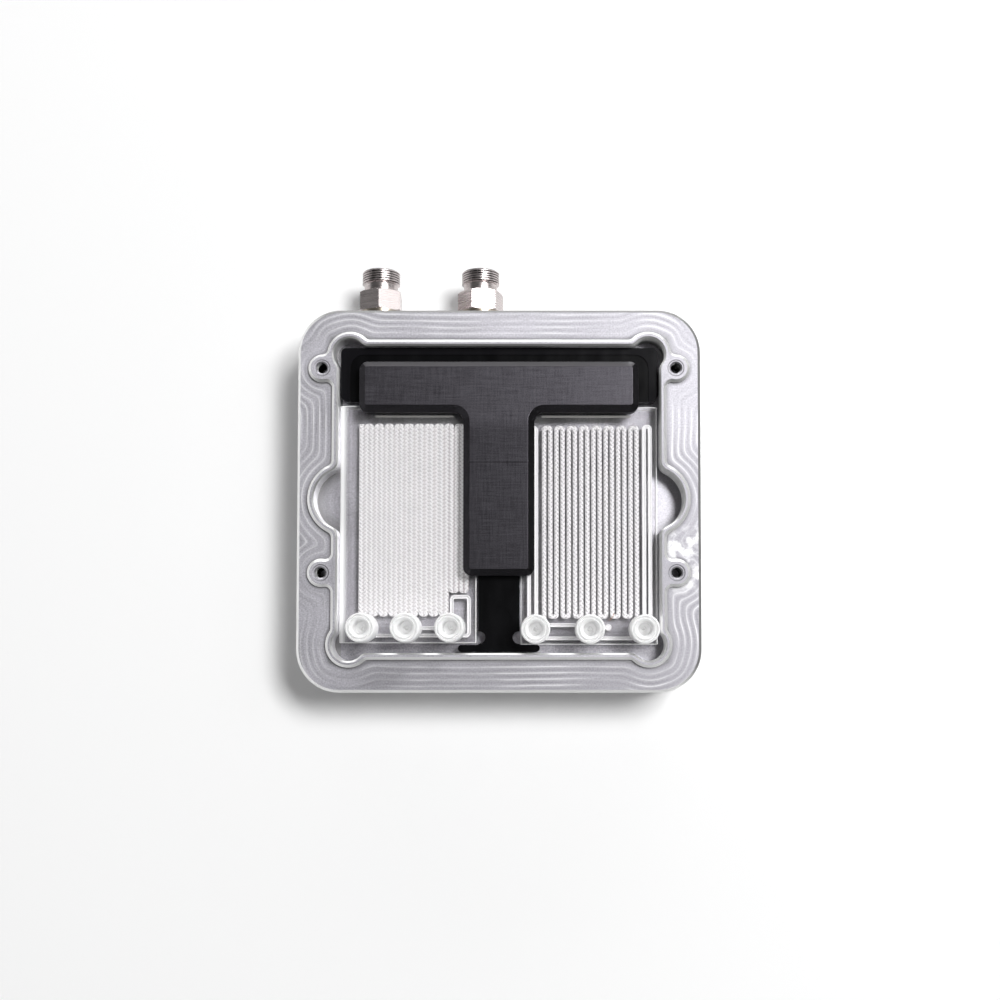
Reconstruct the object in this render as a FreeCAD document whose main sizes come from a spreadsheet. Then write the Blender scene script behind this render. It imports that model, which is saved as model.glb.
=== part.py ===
"""Thermostat module for two glass flow-reactor chips.

A machined aluminium block holds two glass chips side by side in its pocket.  A black locator
fills the space behind and between the chips, and a black T-shaped clamp bar bolted through it
from below holds their edges down.  Coolant enters and leaves by two fittings at the back and
runs through a channel that is milled from below and shut by a closure plate.

Frame: +X right, +Y towards the fittings, +Z up; the origin is the centre of the underside.
Lengths are in millimetres.
"""
import FreeCAD, Part
import math
import os
import re
import Sketcher

# ---------------------------------------------------------------------------------------------
# Driving dimensions
# ---------------------------------------------------------------------------------------------
SIZES = (
    # block
    ("block_width", 168.4), ("block_length", 160.2), ("shelf_height", 28.0),
    ("block_corner", 18.0), ("shelf_chamfer", 1.2), ("foot_chamfer", 0.6),
    # chip pocket and the lip around it
    ("pocket_width", 134.0), ("pocket_length", 128.2), ("pocket_shift", 0.4), ("pocket_floor", 20.5),
    ("relief_radius", 6.8), ("relief_inset_x", 4.7), ("relief_inset_y", 3.5),
    ("scoop_radius", 12.8), ("scoop_inset", 2.8), ("pocket_blend", 4.2), ("pocket_chamfer", 0.7),
    ("lip_width", 2.75), ("lip_height", 2.0), ("lip_chamfer", 1.2), ("lip_blend", 2.4),
    # bosses for a cover
    ("boss_radius", 5.9), ("boss_pitch_x", 147.5), ("boss_pitch_y", 85.5), ("boss_shift", 12.3),
    ("cover_drill_radius", 2.1), ("cover_drill_depth", 12.0), ("cover_sink_radius", 2.7),
    # coolant channel, closure plate and gasket
    ("coolant_width", 11.0), ("coolant_roof", 17.0),
    ("leg_outer", 51.15), ("leg_inner", 16.0), ("coolant_back", 64.0), ("turn_back", 34.0),
    ("turn_front", 50.0), ("turn_middle", 36.0),
    ("plate_width", 136.0), ("plate_length", 142.5), ("plate_shift", 4.25), ("plate_thickness", 5.0),
    ("plate_corner", 6.0), ("gasket_width", 3.0), ("gasket_depth", 1.5), ("gasket_margin", 8.5),
    ("plate_screw_radius", 1.5), ("plate_screw_head", 3.0), ("plate_screw_length", 14.0),
    ("plate_screw_margin", 4.4), ("plate_screw_back_x", 28.0), ("plate_hole_clearance", 0.2),
    # coolant fittings
    ("fitting_x_left", -51.15), ("fitting_x_right", -8.45), ("fitting_axis_height", 15.5),
    ("fitting_bore", 4.5), ("port_bore", 3.5), ("shank_radius", 6.0), ("shank_length", 9.5),
    ("washer_radius", 9.0), ("washer_thickness", 1.9), ("hex_flats", 17.0), ("hex_length", 8.5),
    ("hex_chamfer", 0.6), ("hex_turn_left", 31.2), ("hex_turn_right", 11.0),
    ("neck_radius", 7.5), ("neck_length", 3.3), ("hose_thread_radius", 8.0),
    ("hose_thread_length", 5.8), ("hose_thread_chamfer", 0.6), ("hose_seat_radius", 6.2),
    ("hose_seat_depth", 3.0),
    # glass chips
    ("chip_width", 57.0), ("chip_length", 99.4), ("chip_thickness", 6.0), ("chip_gap", 9.2),
    ("chip_front", 59.9), ("chip_bevel", 0.3), ("chip_slack", 0.3), ("chip_offset", -0.2),
    ("channel_depth", 1.2), ("channel_cover", 2.0), ("plain_width", 1.6), ("via_radius", 0.6),
    ("mixer_back_margin", 7.3),
    ("fine_pitch", 2.1), ("fine_width", 1.6), ("fine_count", 22), ("fine_first", 8.6),
    ("fine_front", 11.4), ("fine_short", 4), ("fine_short_front", 21.2),
    ("loop_drop", 3.1), ("loop_rise", 19.4), ("loop_margin", 3.2),
    ("coarse_pitch", 2.592), ("coarse_width", 1.9), ("coarse_count", 16), ("coarse_first", 9.8),
    ("coarse_front", 10.8), ("feed_margin", 3.5), ("feed_pitch", 3.0), ("feed_rise", 1.85),
    ("return_margin", 2.75), ("return_pitch", 2.5), ("return_drop", 3.65),
    ("chamber_offset", 8.1), ("chamber_rise", 0.9), ("chamber_radius", 1.5),
    # ports bonded on the chips
    ("port_radius", 6.0), ("port_height", 13.5), ("port_chamfer", 0.8), ("socket_radius", 2.8),
    ("socket_depth", 9.0), ("socket_mouth", 4.3), ("socket_sink", 1.4), ("port_pitch_fine", 18.1),
    ("port_pitch_coarse", 22.25), ("port_inset", 6.3),
    # chip locator
    ("locator_clearance", 0.55), ("locator_back_gap", 0.2), ("locator_drop", 0.2),
    ("locator_head", 22.8), ("locator_back_corner", 2.1), ("locator_front_corner", 3.2),
    ("locator_stem", 17.2), ("locator_foot_width", 34.0), ("locator_foot_depth", 2.85),
    ("locator_notch", 2.65), ("locator_notch_x", 8.3), ("locator_notch_y", 57.2),
    ("locator_recess_depth", 0.4), ("locator_border_side", 3.8), ("locator_border_back", 2.8),
    ("locator_recess_corner", 6.0), ("locator_spot_radius", 4.8), ("locator_spot_depth", 0.25),
    ("locator_spot_y", 48.9),
    # clamp bar
    ("clamp_head_width", 116.2), ("clamp_stem_width", 29.5), ("clamp_back", 57.6),
    ("clamp_head_depth", 21.3), ("clamp_end", 31.75), ("clamp_thickness", 6.5),
    ("clamp_chamfer", 2.6), ("clamp_corner", 3.6), ("clamp_inner_corner", 4.0),
    # screws that hold the clamp bar from below
    ("clamp_screw_radius", 2.0), ("clamp_screw_head", 3.5), ("clamp_screw_head_height", 4.0),
    ("clamp_screw_tip", 30.5), ("clamp_hole_top", 31.0), ("clamp_screw_clearance", 0.25),
    ("clamp_screw_x", 33.5), ("clamp_screw_back", 47.0), ("clamp_screw_front", 20.0),
    ("clamp_screw_seat", 10.0), ("clamp_key_flats", 3.0), ("clamp_key_depth", 2.2),
    ("plate_key_flats", 2.0), ("plate_key_depth", 1.2),
)

doc = FreeCAD.newDocument("ChipModule")
sheet = doc.addObject("Spreadsheet::Sheet", "Sizes")
for row, (alias, number) in enumerate(SIZES, start=1):
    sheet.set("A%d" % row, alias.replace("_", " "))
    sheet.set("B%d" % row, str(number))
    sheet.setAlias("B%d" % row, alias)
doc.recompute()

ALIAS = re.compile(r"\b(%s)\b" % "|".join(sorted((name for name, _ in SIZES), key=len, reverse=True)))


def tied(formula):
    """The formula with each alias pointing at the sheet."""
    return ALIAS.sub(r"Sizes.\1", formula)


def size(alias):
    """The present value of one driving dimension."""
    return float(sheet.get(alias))


# Formulas that several sub-parts share
CHIP_TOP = "(pocket_floor + chip_thickness)"
LIP_TOP = "(shelf_height + lip_height)"
CLAMP_TOP = "(%s + clamp_thickness)" % CHIP_TOP
POCKET_BACK = "(pocket_shift + pocket_length / 2)"
POCKET_FRONT = "(pocket_shift - pocket_length / 2)"
GASKET_WIDTH = "(plate_width - 2 * gasket_margin)"
GASKET_LENGTH = "(plate_length - 2 * gasket_margin)"


# ---------------------------------------------------------------------------------------------
# Builders: each adds one feature to a body, with its sizes bound to the sheet
# ---------------------------------------------------------------------------------------------
def bind(feature, formulas):
    for path, formula in formulas.items():
        feature.setExpression(path, tied(formula))
    return feature


def new_body(label):
    body = doc.addObject("PartDesign::Body", "Body_" + label)
    body.Label = label
    return body


def origin_plane(body, role):
    return next(item for item in body.Origin.OriginFeatures if item.Role == role)


def place(feature, centre, direction=None):
    """Put a feature at three formulas, with its own Z turned to the direction."""
    if direction is not None:
        turn = FreeCAD.Rotation(FreeCAD.Vector(0, 0, 1), FreeCAD.Vector(*direction))
        feature.Placement = FreeCAD.Placement(FreeCAD.Vector(), turn)
    paths = ("Placement.Base.x", "Placement.Base.y", "Placement.Base.z")
    return bind(feature, dict(zip(paths, centre)))


def primitive(body, form, name, cut):
    """A bare form; faces that run on are joined later, where edges are picked and at the end."""
    action = "Subtractive" if cut else "Additive"
    feature = body.newObject("PartDesign::%s%s" % (action, form), name)
    feature.Refine = False
    return feature


def brick(body, name, extent, low, cut=False):
    """A box centred in X and Y on low[0] and low[1], rising from low[2]."""
    feature = primitive(body, "Box", name, cut)
    bind(feature, dict(zip(("Length", "Width", "Height"), extent)))
    corner = ("%s - (%s) / 2" % (low[0], extent[0]), "%s - (%s) / 2" % (low[1], extent[1]), low[2])
    return place(feature, corner)


def rod(body, name, radius, height, base, cut=False, direction=None):
    feature = primitive(body, "Cylinder", name, cut)
    bind(feature, {"Radius": radius, "Height": height})
    return place(feature, base, direction)


def cone(body, name, low_radius, high_radius, height, base, cut=False, direction=None):
    feature = primitive(body, "Cone", name, cut)
    bind(feature, {"Radius1": low_radius, "Radius2": high_radius, "Height": height})
    return place(feature, base, direction)


def prism(body, name, corner_radius, height, base, turn, cut=False, direction=None):
    """A hexagonal prism, turned about its own axis by the given angle."""
    feature = primitive(body, "Prism", name, cut)
    feature.Polygon = 6
    bind(feature, {"Circumradius": corner_radius, "Height": height})
    place(feature, base, direction)
    own_axis = FreeCAD.Rotation(FreeCAD.Vector(0, 0, 1), turn)
    feature.Placement.Rotation = feature.Placement.Rotation.multiply(own_axis)
    return feature


def dress(body, kind, name, base, edges, formula):
    """A Fillet or Chamfer of the named edges of the body's last feature."""
    feature = body.newObject("PartDesign::" + kind, name)
    feature.Base = (base, edges)
    bind(feature, {"Radius" if kind == "Fillet" else "Size": formula})
    doc.recompute()
    return feature


def whole_shape(feature):
    """The feature's present shape, with the faces that run on joined."""
    feature.Refine = True
    doc.recompute()
    return feature.Shape


def edges_of(feature, test):
    """Names of the feature's edges whose box passes the test."""
    edges = enumerate(whole_shape(feature).Edges, start=1)
    return ["Edge%d" % number for number, edge in edges if test(edge.BoundBox)]


def near(value, target, margin=1e-4):
    return abs(value - target) < margin


def upright_edges(feature, low, high, inside=None):
    """Sharp vertical edges between two heights: a cylinder's own seam has one face only."""
    shape = whole_shape(feature)
    names = []
    for number, edge in enumerate(shape.Edges, start=1):
        box = edge.BoundBox
        upright = box.XLength < 1e-4 and box.YLength < 1e-4
        if not upright or box.ZMin < low - 1e-4 or box.ZMax > high + 1e-4:
            continue
        if inside is not None and not inside(box.Center.x, box.Center.y):
            continue
        if len(shape.ancestorsOfType(edge, Part.Face)) < 2:
            continue
        names.append("Edge%d" % number)
    return names


def flat_edges(feature, height, test=None):
    """Edges that lie wholly at one height."""
    def level(box):
        return near(box.ZMin, height) and near(box.ZMax, height) and (test is None or test(box))
    return edges_of(feature, level)


def wall_rim(feature, low, high):
    """Edges at the upper end of the walls that stand between two heights."""
    shape = whole_shape(feature)
    names = []
    for number, edge in enumerate(shape.Edges, start=1):
        box = edge.BoundBox
        if not (near(box.ZMin, high) and near(box.ZMax, high)):
            continue
        if any(near(face.BoundBox.ZMin, low) for face in shape.ancestorsOfType(edge, Part.Face)):
            names.append("Edge%d" % number)
    return names


def repeat(body, name, features, role, total, count):
    """A linear pattern of features along an origin axis, which becomes the body's tip."""
    pattern = body.newObject("PartDesign::LinearPattern", name)
    pattern.Originals = features
    pattern.Direction = (origin_plane(body, role), [""])
    pattern.Refine = False
    bind(pattern, {"Length": total, "Occurrences": count})
    body.Tip = pattern
    return pattern


SIDES = (("left", -1), ("right", 1))
ENDS = (("front", -1), ("back", 1))


# ---------------------------------------------------------------------------------------------
# Aluminium block
# ---------------------------------------------------------------------------------------------
def pocket_forms(body, name, grow, low, height, cut):
    """The pocket's plan as a raised or cut form: field, corner reliefs and finger scoops."""
    feature = brick(body, name + "_field",
                    ("pocket_width + 2 * (%s)" % grow, "pocket_length + 2 * (%s)" % grow, height),
                    ("0", "pocket_shift", low), cut)
    if not cut:
        corners = upright_edges(feature, size("shelf_height"), size("shelf_height") + size("lip_height"))
        dress(body, "Fillet", name + "_field_corners", feature, corners, grow)
    for side, sx in SIDES:
        for end, sy in ENDS:
            feature = rod(body, "%s_relief_%s_%s" % (name, end, side), "relief_radius + (%s)" % grow,
                          height, ("%d * (pocket_width / 2 - relief_inset_x)" % sx,
                                   "pocket_shift + %d * (pocket_length / 2 - relief_inset_y)" % sy, low), cut)
        feature = rod(body, "%s_scoop_%s" % (name, side), "scoop_radius + (%s)" % grow, height,
                      ("%d * (pocket_width / 2 - scoop_inset)" % sx, "pocket_shift", low), cut)
    return feature


def boss_places():
    for side, sx in SIDES:
        for end, sy in ENDS:
            yield ("%s_%s" % (end, side), "%d * boss_pitch_x / 2" % sx,
                   "boss_shift + %d * boss_pitch_y / 2" % sy)


def plate_screw_places():
    """Screws round the closure plate: corners, middles of the sides, two at front and back."""
    side_x = "(plate_width / 2 - plate_screw_margin)"
    end_y = "(plate_length / 2 - plate_screw_margin)"
    for sx in (-1, 1):
        for sy in (-1, 0, 1):
            yield "%d * %s" % (sx, side_x), "plate_shift + %d * %s" % (sy, end_y)
        for sy in (-1, 1):
            yield "%d * plate_screw_back_x" % sx, "plate_shift + %d * %s" % (sy, end_y)


def clamp_screw_places():
    yield "left", "-clamp_screw_x", "clamp_screw_back"
    yield "right", "clamp_screw_x", "clamp_screw_back"
    yield "stem", "0", "-clamp_screw_front"


def coolant_runs():
    """Name, centre and extent of each straight run of the coolant channel."""
    back_leg = "(coolant_back + turn_front + coolant_width / 2)"
    yield ("leg_in", "-leg_outer", "coolant_back - %s / 2" % back_leg, "coolant_width", back_leg)
    yield ("front_turn", "0", "-turn_front", "2 * leg_outer + coolant_width", "coolant_width")
    far_leg = "(turn_back + turn_front + coolant_width)"
    yield ("leg_far", "leg_outer", "(turn_back - turn_front) / 2", "coolant_width", far_leg)
    yield ("back_turn", "(leg_outer + leg_inner) / 2", "turn_back",
           "leg_outer - leg_inner + coolant_width", "coolant_width")
    inner_leg = "(turn_back + turn_middle + coolant_width)"
    yield ("leg_inner", "leg_inner", "(turn_back - turn_middle) / 2", "coolant_width", inner_leg)
    yield ("middle_turn", "0", "-turn_middle", "2 * leg_inner + coolant_width", "coolant_width")
    out_leg = "(coolant_back + turn_middle + coolant_width / 2)"
    yield ("leg_out", "-leg_inner", "coolant_back - %s / 2" % out_leg, "coolant_width", out_leg)
    outlet = "(fitting_x_right + leg_inner + coolant_width)"
    yield ("outlet_end", "-leg_inner - coolant_width / 2 + %s / 2" % outlet,
           "coolant_back - coolant_width / 2", outlet, "coolant_width")


def build_block():
    body = new_body("base_block")
    blank = brick(body, "blank", ("block_width", "block_length", "shelf_height"), ("0", "0", "0"))
    corners = upright_edges(blank, 0, size("shelf_height"))
    blank = dress(body, "Fillet", "blank_corners", blank, corners, "block_corner")
    blank = dress(body, "Chamfer", "shelf_edge", blank, flat_edges(blank, size("shelf_height")),
                  "shelf_chamfer")
    blank = dress(body, "Chamfer", "foot_edge", blank, flat_edges(blank, 0), "foot_chamfer")

    # the lip stands on the shelf and widens into the cover bosses
    lip = pocket_forms(body, "lip", "lip_width", "shelf_height", "lip_height", cut=False)
    for name, x, y in boss_places():
        lip = rod(body, "boss_" + name, "boss_radius", "lip_height", (x, y, "shelf_height"))
    shelf, top = size("shelf_height"), size("shelf_height") + size("lip_height")
    lip = dress(body, "Fillet", "lip_blends", lip, upright_edges(lip, shelf, top), "lip_blend")
    lip = dress(body, "Chamfer", "lip_edge", lip, flat_edges(lip, top), "lip_chamfer")

    # the pocket, with its scoops and corner reliefs, goes down through the lip
    depth = "%s - pocket_floor" % LIP_TOP
    pocket = pocket_forms(body, "pocket", "0", "pocket_floor", depth, cut=True)
    sharp = upright_edges(pocket, size("pocket_floor"), top)
    pocket = dress(body, "Fillet", "pocket_blends", pocket, sharp, "pocket_blend")
    dress(body, "Chamfer", "pocket_edge", pocket, wall_rim(pocket, size("pocket_floor"), top),
          "pocket_chamfer")

    for name, x, y in boss_places():
        rod(body, "cover_drill_" + name, "cover_drill_radius", "cover_drill_depth",
            (x, y, "%s - cover_drill_depth" % LIP_TOP), cut=True)
        sink = "(cover_sink_radius - cover_drill_radius)"
        cone(body, "cover_sink_" + name, "cover_drill_radius", "cover_sink_radius", sink,
             (x, y, "%s - %s" % (LIP_TOP, sink)), cut=True)

    # underside: plate recess, gasket groove, coolant channel and the screw holes
    recess = brick(body, "plate_recess", ("plate_width", "plate_length", "plate_thickness"),
                   ("0", "plate_shift", "0"), cut=True)
    inside = upright_edges(recess, 0, size("plate_thickness"), inside_plate)
    dress(body, "Fillet", "plate_recess_corners", recess, inside, "plate_corner")
    gasket_ring(body, "gasket_groove", cut=True)
    for name, x, y, width, length in coolant_runs():
        brick(body, "coolant_" + name, (width, length, "coolant_roof - plate_thickness"),
              (x, y, "plate_thickness"), cut=True)
    for number, (x, y) in enumerate(plate_screw_places(), start=1):
        rod(body, "plate_thread_%d" % number, "plate_screw_radius", "plate_screw_length - plate_thickness",
            (x, y, "plate_thickness"), cut=True)
    for name, x, y in clamp_screw_places():
        rod(body, "clamp_passage_" + name, "clamp_screw_radius + clamp_screw_clearance",
            "pocket_floor - plate_thickness", (x, y, "plate_thickness"), cut=True)
        rod(body, "clamp_seat_" + name, "clamp_screw_head + clamp_screw_clearance",
            "clamp_screw_seat - plate_thickness", (x, y, "plate_thickness"), cut=True)

    # coolant ports in the back wall
    for side, _ in SIDES:
        mouth = ("fitting_x_" + side, "block_length / 2", "fitting_axis_height")
        rod(body, "coolant_thread_" + side, "shank_radius", "shank_length", mouth, cut=True,
            direction=(0, -1, 0))
        rod(body, "coolant_bore_" + side, "port_bore", "block_length / 2 - coolant_back + 1", mouth,
            cut=True, direction=(0, -1, 0))
    return body


def inside_plate(x, y):
    return abs(x) < size("plate_width") / 2 + 0.1 and \
        abs(y - size("plate_shift")) < size("plate_length") / 2 + 0.1


def gasket_ring(body, name, cut):
    """The four straight sides of the flat gasket that lies on the closure plate."""
    level = "plate_thickness"
    for side, sx in SIDES:
        brick(body, "%s_%s" % (name, side),
              ("gasket_width", "%s + gasket_width" % GASKET_LENGTH, "gasket_depth"),
              ("%d * %s / 2" % (sx, GASKET_WIDTH), "plate_shift", level), cut)
    for end, sy in ENDS:
        brick(body, "%s_%s" % (name, end),
              ("%s + gasket_width" % GASKET_WIDTH, "gasket_width", "gasket_depth"),
              ("0", "plate_shift + %d * %s / 2" % (sy, GASKET_LENGTH), level), cut)


# ---------------------------------------------------------------------------------------------
# Underside: gasket, closure plate and its screws
# ---------------------------------------------------------------------------------------------
def build_gasket():
    body = new_body("coolant_gasket")
    level = "plate_thickness"
    brick(body, "ring", ("%s + gasket_width" % GASKET_WIDTH, "%s + gasket_width" % GASKET_LENGTH,
                         "gasket_depth"), ("0", "plate_shift", level))
    brick(body, "ring_inside", ("%s - gasket_width" % GASKET_WIDTH, "%s - gasket_width" % GASKET_LENGTH,
                                "gasket_depth"), ("0", "plate_shift", level), cut=True)


def build_closure_plate():
    body = new_body("closure_plate")
    plate = brick(body, "plate", ("plate_width", "plate_length", "plate_thickness"),
                  ("0", "plate_shift", "0"))
    corners = upright_edges(plate, 0, size("plate_thickness"))
    dress(body, "Fillet", "plate_corners", plate, corners, "plate_corner")
    for number, (x, y) in enumerate(plate_screw_places(), start=1):
        rod(body, "screw_hole_%d" % number, "plate_screw_radius + plate_hole_clearance",
            "plate_thickness", (x, y, "0"), cut=True)
        cone(body, "screw_sink_%d" % number, "plate_screw_head", "plate_screw_radius",
             "plate_screw_head - plate_screw_radius", (x, y, "0"), cut=True)


def build_plate_screws():
    """Countersunk screws, heads flush with the underside, each with a hexagon socket."""
    for number, (x, y) in enumerate(plate_screw_places(), start=1):
        body = new_body("plate_screw_%d" % number)
        head = "(plate_screw_head - plate_screw_radius)"
        cone(body, "head", "plate_screw_head", "plate_screw_radius", head, (x, y, "0"))
        rod(body, "shank", "plate_screw_radius", "plate_screw_length - %s" % head, (x, y, head))
        prism(body, "key_socket", "plate_key_flats / sqrt(3)", "plate_key_depth", (x, y, "0"), 0, cut=True)


# ---------------------------------------------------------------------------------------------
# Coolant fittings and their sealing washers
# ---------------------------------------------------------------------------------------------
def build_fittings():
    back = (0, 1, 0)
    wall = "block_length / 2"
    for side, _ in SIDES:
        x, z = "fitting_x_" + side, "fitting_axis_height"
        washer = new_body("fitting_seal_" + side)
        rod(washer, "ring", "washer_radius", "washer_thickness", (x, wall, z), direction=back)
        rod(washer, "hole", "shank_radius", "washer_thickness", (x, wall, z), True, back)

        body = new_body("coolant_fitting_" + side)
        hex_start = "%s + washer_thickness" % wall
        hexagon = prism(body, "hexagon", "hex_flats / sqrt(3)", "hex_length", (x, hex_start, z),
                        size("hex_turn_" + side), direction=back)
        ends = edges_of(hexagon, lambda box: box.YLength < 1e-4)
        dress(body, "Chamfer", "hexagon_edges", hexagon, ends, "hex_chamfer")
        rod(body, "shank", "shank_radius", "shank_length + washer_thickness",
            (x, "%s - shank_length" % wall, z), direction=back)
        neck_start = "%s + hex_length" % hex_start
        rod(body, "neck", "neck_radius", "neck_length", (x, neck_start, z), direction=back)
        thread_start = "%s + neck_length" % neck_start
        thread = rod(body, "hose_thread", "hose_thread_radius", "hose_thread_length",
                     (x, thread_start, z), direction=back)
        tip = size("block_length") / 2 + sum(size(name) for name in (
            "washer_thickness", "hex_length", "neck_length", "hose_thread_length"))
        rims = edges_of(thread, lambda box: near(box.YMin, tip, 1e-3) and near(box.YMax, tip, 1e-3))
        dress(body, "Chamfer", "hose_thread_edge", thread, rims, "hose_thread_chamfer")
        whole = "shank_length + washer_thickness + hex_length + neck_length + hose_thread_length"
        rod(body, "bore", "fitting_bore", whole, (x, "%s - shank_length" % wall, z), True, back)
        seat_start = "%s + hose_thread_length - hose_seat_depth" % thread_start
        cone(body, "hose_seat", "fitting_bore", "hose_seat_radius", "hose_seat_depth",
             (x, seat_start, z), True, back)


# ---------------------------------------------------------------------------------------------
# Glass chips: one bonded slab each, with its channels as real hollows
# ---------------------------------------------------------------------------------------------
CHANNEL_LEVEL = "(%s - channel_cover - channel_depth)" % CHIP_TOP


def channel_leg(body, name, x, front, back, width):
    """A straight channel along Y between two formulas."""
    return brick(body, name, (width, "(%s) - (%s)" % (back, front), "channel_depth"),
                 (x, "((%s) + (%s)) / 2" % (back, front), CHANNEL_LEVEL), cut=True)


def channel_cross(body, name, left, right, y, width):
    """A straight channel along X between two formulas, rounded at both ends."""
    features = [brick(body, name, ("(%s) - (%s)" % (right, left), width, "channel_depth"),
                      ("((%s) + (%s)) / 2" % (right, left), y, CHANNEL_LEVEL), cut=True)]
    for end, x in (("left", left), ("right", right)):
        features.append(rod(body, "%s_%s" % (name, end), "(%s) / 2" % width, "channel_depth",
                            (x, y, CHANNEL_LEVEL), cut=True))
    return features


def channel_arch(body, name, x, y, pitch, width):
    """A half ring over the back ends of two legs."""
    sketch = body.newObject("Sketcher::SketchObject", name + "_plan")
    sketch.AttachmentSupport = [(origin_plane(body, "XY_Plane"), "")]
    sketch.MapMode = "FlatFace"
    bind(sketch, {"AttachmentOffset.Base.x": x, "AttachmentOffset.Base.y": y,
                  "AttachmentOffset.Base.z": CHANNEL_LEVEL})
    middle, up = FreeCAD.Vector(), FreeCAD.Vector(0, 0, 1)
    radii = [(size(pitch) + sign * size(width)) / 2 for sign in (1, -1)]
    outer, inner = [sketch.addGeometry(Part.ArcOfCircle(Part.Circle(middle, up, radius), 0, math.pi))
                    for radius in radii]
    for sign, start, end in ((1, 1, 1), (-1, 2, 2)):
        ends = [FreeCAD.Vector(sign * radius, 0, 0) for radius in radii]
        line = sketch.addGeometry(Part.LineSegment(*ends))
        for own, arc, arc_end in ((1, outer, start), (2, inner, end)):
            sketch.addConstraint(Sketcher.Constraint("Coincident", line, own, arc, arc_end))
            sketch.addConstraint(Sketcher.Constraint("PointOnObject", arc, arc_end, -1))
    for arc, radius, sign in ((outer, radii[0], "+"), (inner, radii[1], "-")):
        sketch.addConstraint(Sketcher.Constraint("Coincident", arc, 3, -1, 1))
        index = sketch.addConstraint(Sketcher.Constraint("Radius", arc, radius))
        sketch.setExpression("Constraints[%d]" % index, tied("(%s %s %s) / 2" % (pitch, sign, width)))
    pocket = body.newObject("PartDesign::Pocket", name)
    pocket.Profile = sketch
    pocket.Reversed = True
    pocket.Refine = False
    bind(pocket, {"Length": "channel_depth"})
    sketch.Visibility = False
    return pocket


def channel_set(body, legs, crosses):
    """Plain channels: legs as (name, x, front, back) and crosses as (name, left, right, y)."""
    for name, x, front, back in legs:
        channel_leg(body, name, x, front, back, "plain_width")
    for name, left, right, y in crosses:
        channel_cross(body, name, left, right, y, "plain_width")


def mixer_row(body, name, row, count, first, near_end, far_end):
    """Parallel legs between two outer ends; row is their pitch and width."""
    pitch, width = row
    leg = channel_leg(body, name, first, "%s + %s / 2" % (near_end, width),
                      "%s - %s / 2" % (far_end, width), width)
    repeat(body, name + "_row", [leg], "X_Axis", "(%s - 1) * %s" % (count, pitch), count)


def bend_row(body, name, row, pairs, first, y):
    """Flat bends with rounded corners that join legs in pairs, from the leg at first onwards."""
    pitch, width = row
    bend = channel_cross(body, name, first, "%s + %s" % (first, pitch), y, width)
    repeat(body, name + "_row", bend, "X_Axis", "(%s - 1) * 2 * %s" % (pairs, pitch), pairs)


def chip_slab(label, side, slack):
    """The bare slab, with the formulas of its left, right, front and back edges."""
    body = new_body(label)
    middle = "(chip_offset + %d * (chip_gap + chip_width / 2))" % dict(SIDES)[side]
    left, right = "(%s - chip_width / 2)" % middle, "(%s + chip_width / 2)" % middle
    front = "(%s - chip_front)" % slack
    slab = brick(body, "slab", ("chip_width", "chip_length", "chip_thickness"),
                 (middle, "%s + chip_length / 2" % front, "pocket_floor"))
    dress(body, "Chamfer", "bevels", slab, edges_of(slab, lambda box: True), "chip_bevel")
    return body, middle, left, right, front, "(%s + chip_length)" % front


def drill_vias(body, middle, row, pitch):
    """A hole down to the channels under each port; returns the three X formulas."""
    places = ["(%s + %d * %s)" % (middle, step, pitch) for step in (-1, 0, 1)]
    for number, x in enumerate(places, start=1):
        rod(body, "via_%d" % number, "via_radius", "channel_cover + channel_depth / 2",
            (x, row, "%s + channel_depth / 2" % CHANNEL_LEVEL), cut=True)
    return places


def build_fine_chip():
    """Left chip: a dense field of mixing channels, the last four of them shorter."""
    body, middle, left, right, front, back = chip_slab("chip_left", "left", "chip_slack")
    row = "(%s + port_inset)" % front
    first = "(%s + fine_first)" % left
    short_first = "(%s + (fine_count - fine_short) * fine_pitch)" % first
    far_end, near_end = "(%s - mixer_back_margin)" % back, "(%s + fine_front)" % front
    short_end = "(%s + fine_short_front)" % front

    long_legs = "(fine_count - fine_short)"
    fine, second = ("fine_pitch", "fine_width"), "(%s + fine_pitch)" % first
    back_line, front_line = "%s - fine_width / 2" % far_end, "%s + fine_width / 2" % near_end
    mixer_row(body, "leg", fine, long_legs, first, near_end, far_end)
    mixer_row(body, "short_leg", fine, "fine_short", short_first, short_end, far_end)
    bend_row(body, "back_bend", fine, "(fine_count - 2) / 2", second, back_line)
    bend_row(body, "front_bend", fine, "%s / 2" % long_legs, first, front_line)
    bend_row(body, "short_bend", fine, "fine_short / 2", short_first, "%s + fine_width / 2" % short_end)

    ports = drill_vias(body, middle, row, "port_pitch_fine")
    low, high = "(%s - loop_drop)" % row, "(%s + loop_rise)" % front
    side = "(%s - loop_margin)" % right
    last_bend = "(%s - 1.5 * fine_pitch)" % short_first
    channel_set(body,
                (("inlet_leg", ports[0], low, front_line), ("outlet_leg", last_bend, row, front_line),
                 ("loop_inner", ports[2], row, high), ("loop_outer", side, low, high)),
                (("loop_front", ports[0], side, low), ("loop_back", ports[2], side, high),
                 ("link", ports[1], ports[2], row)))
    return ports, row


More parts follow.
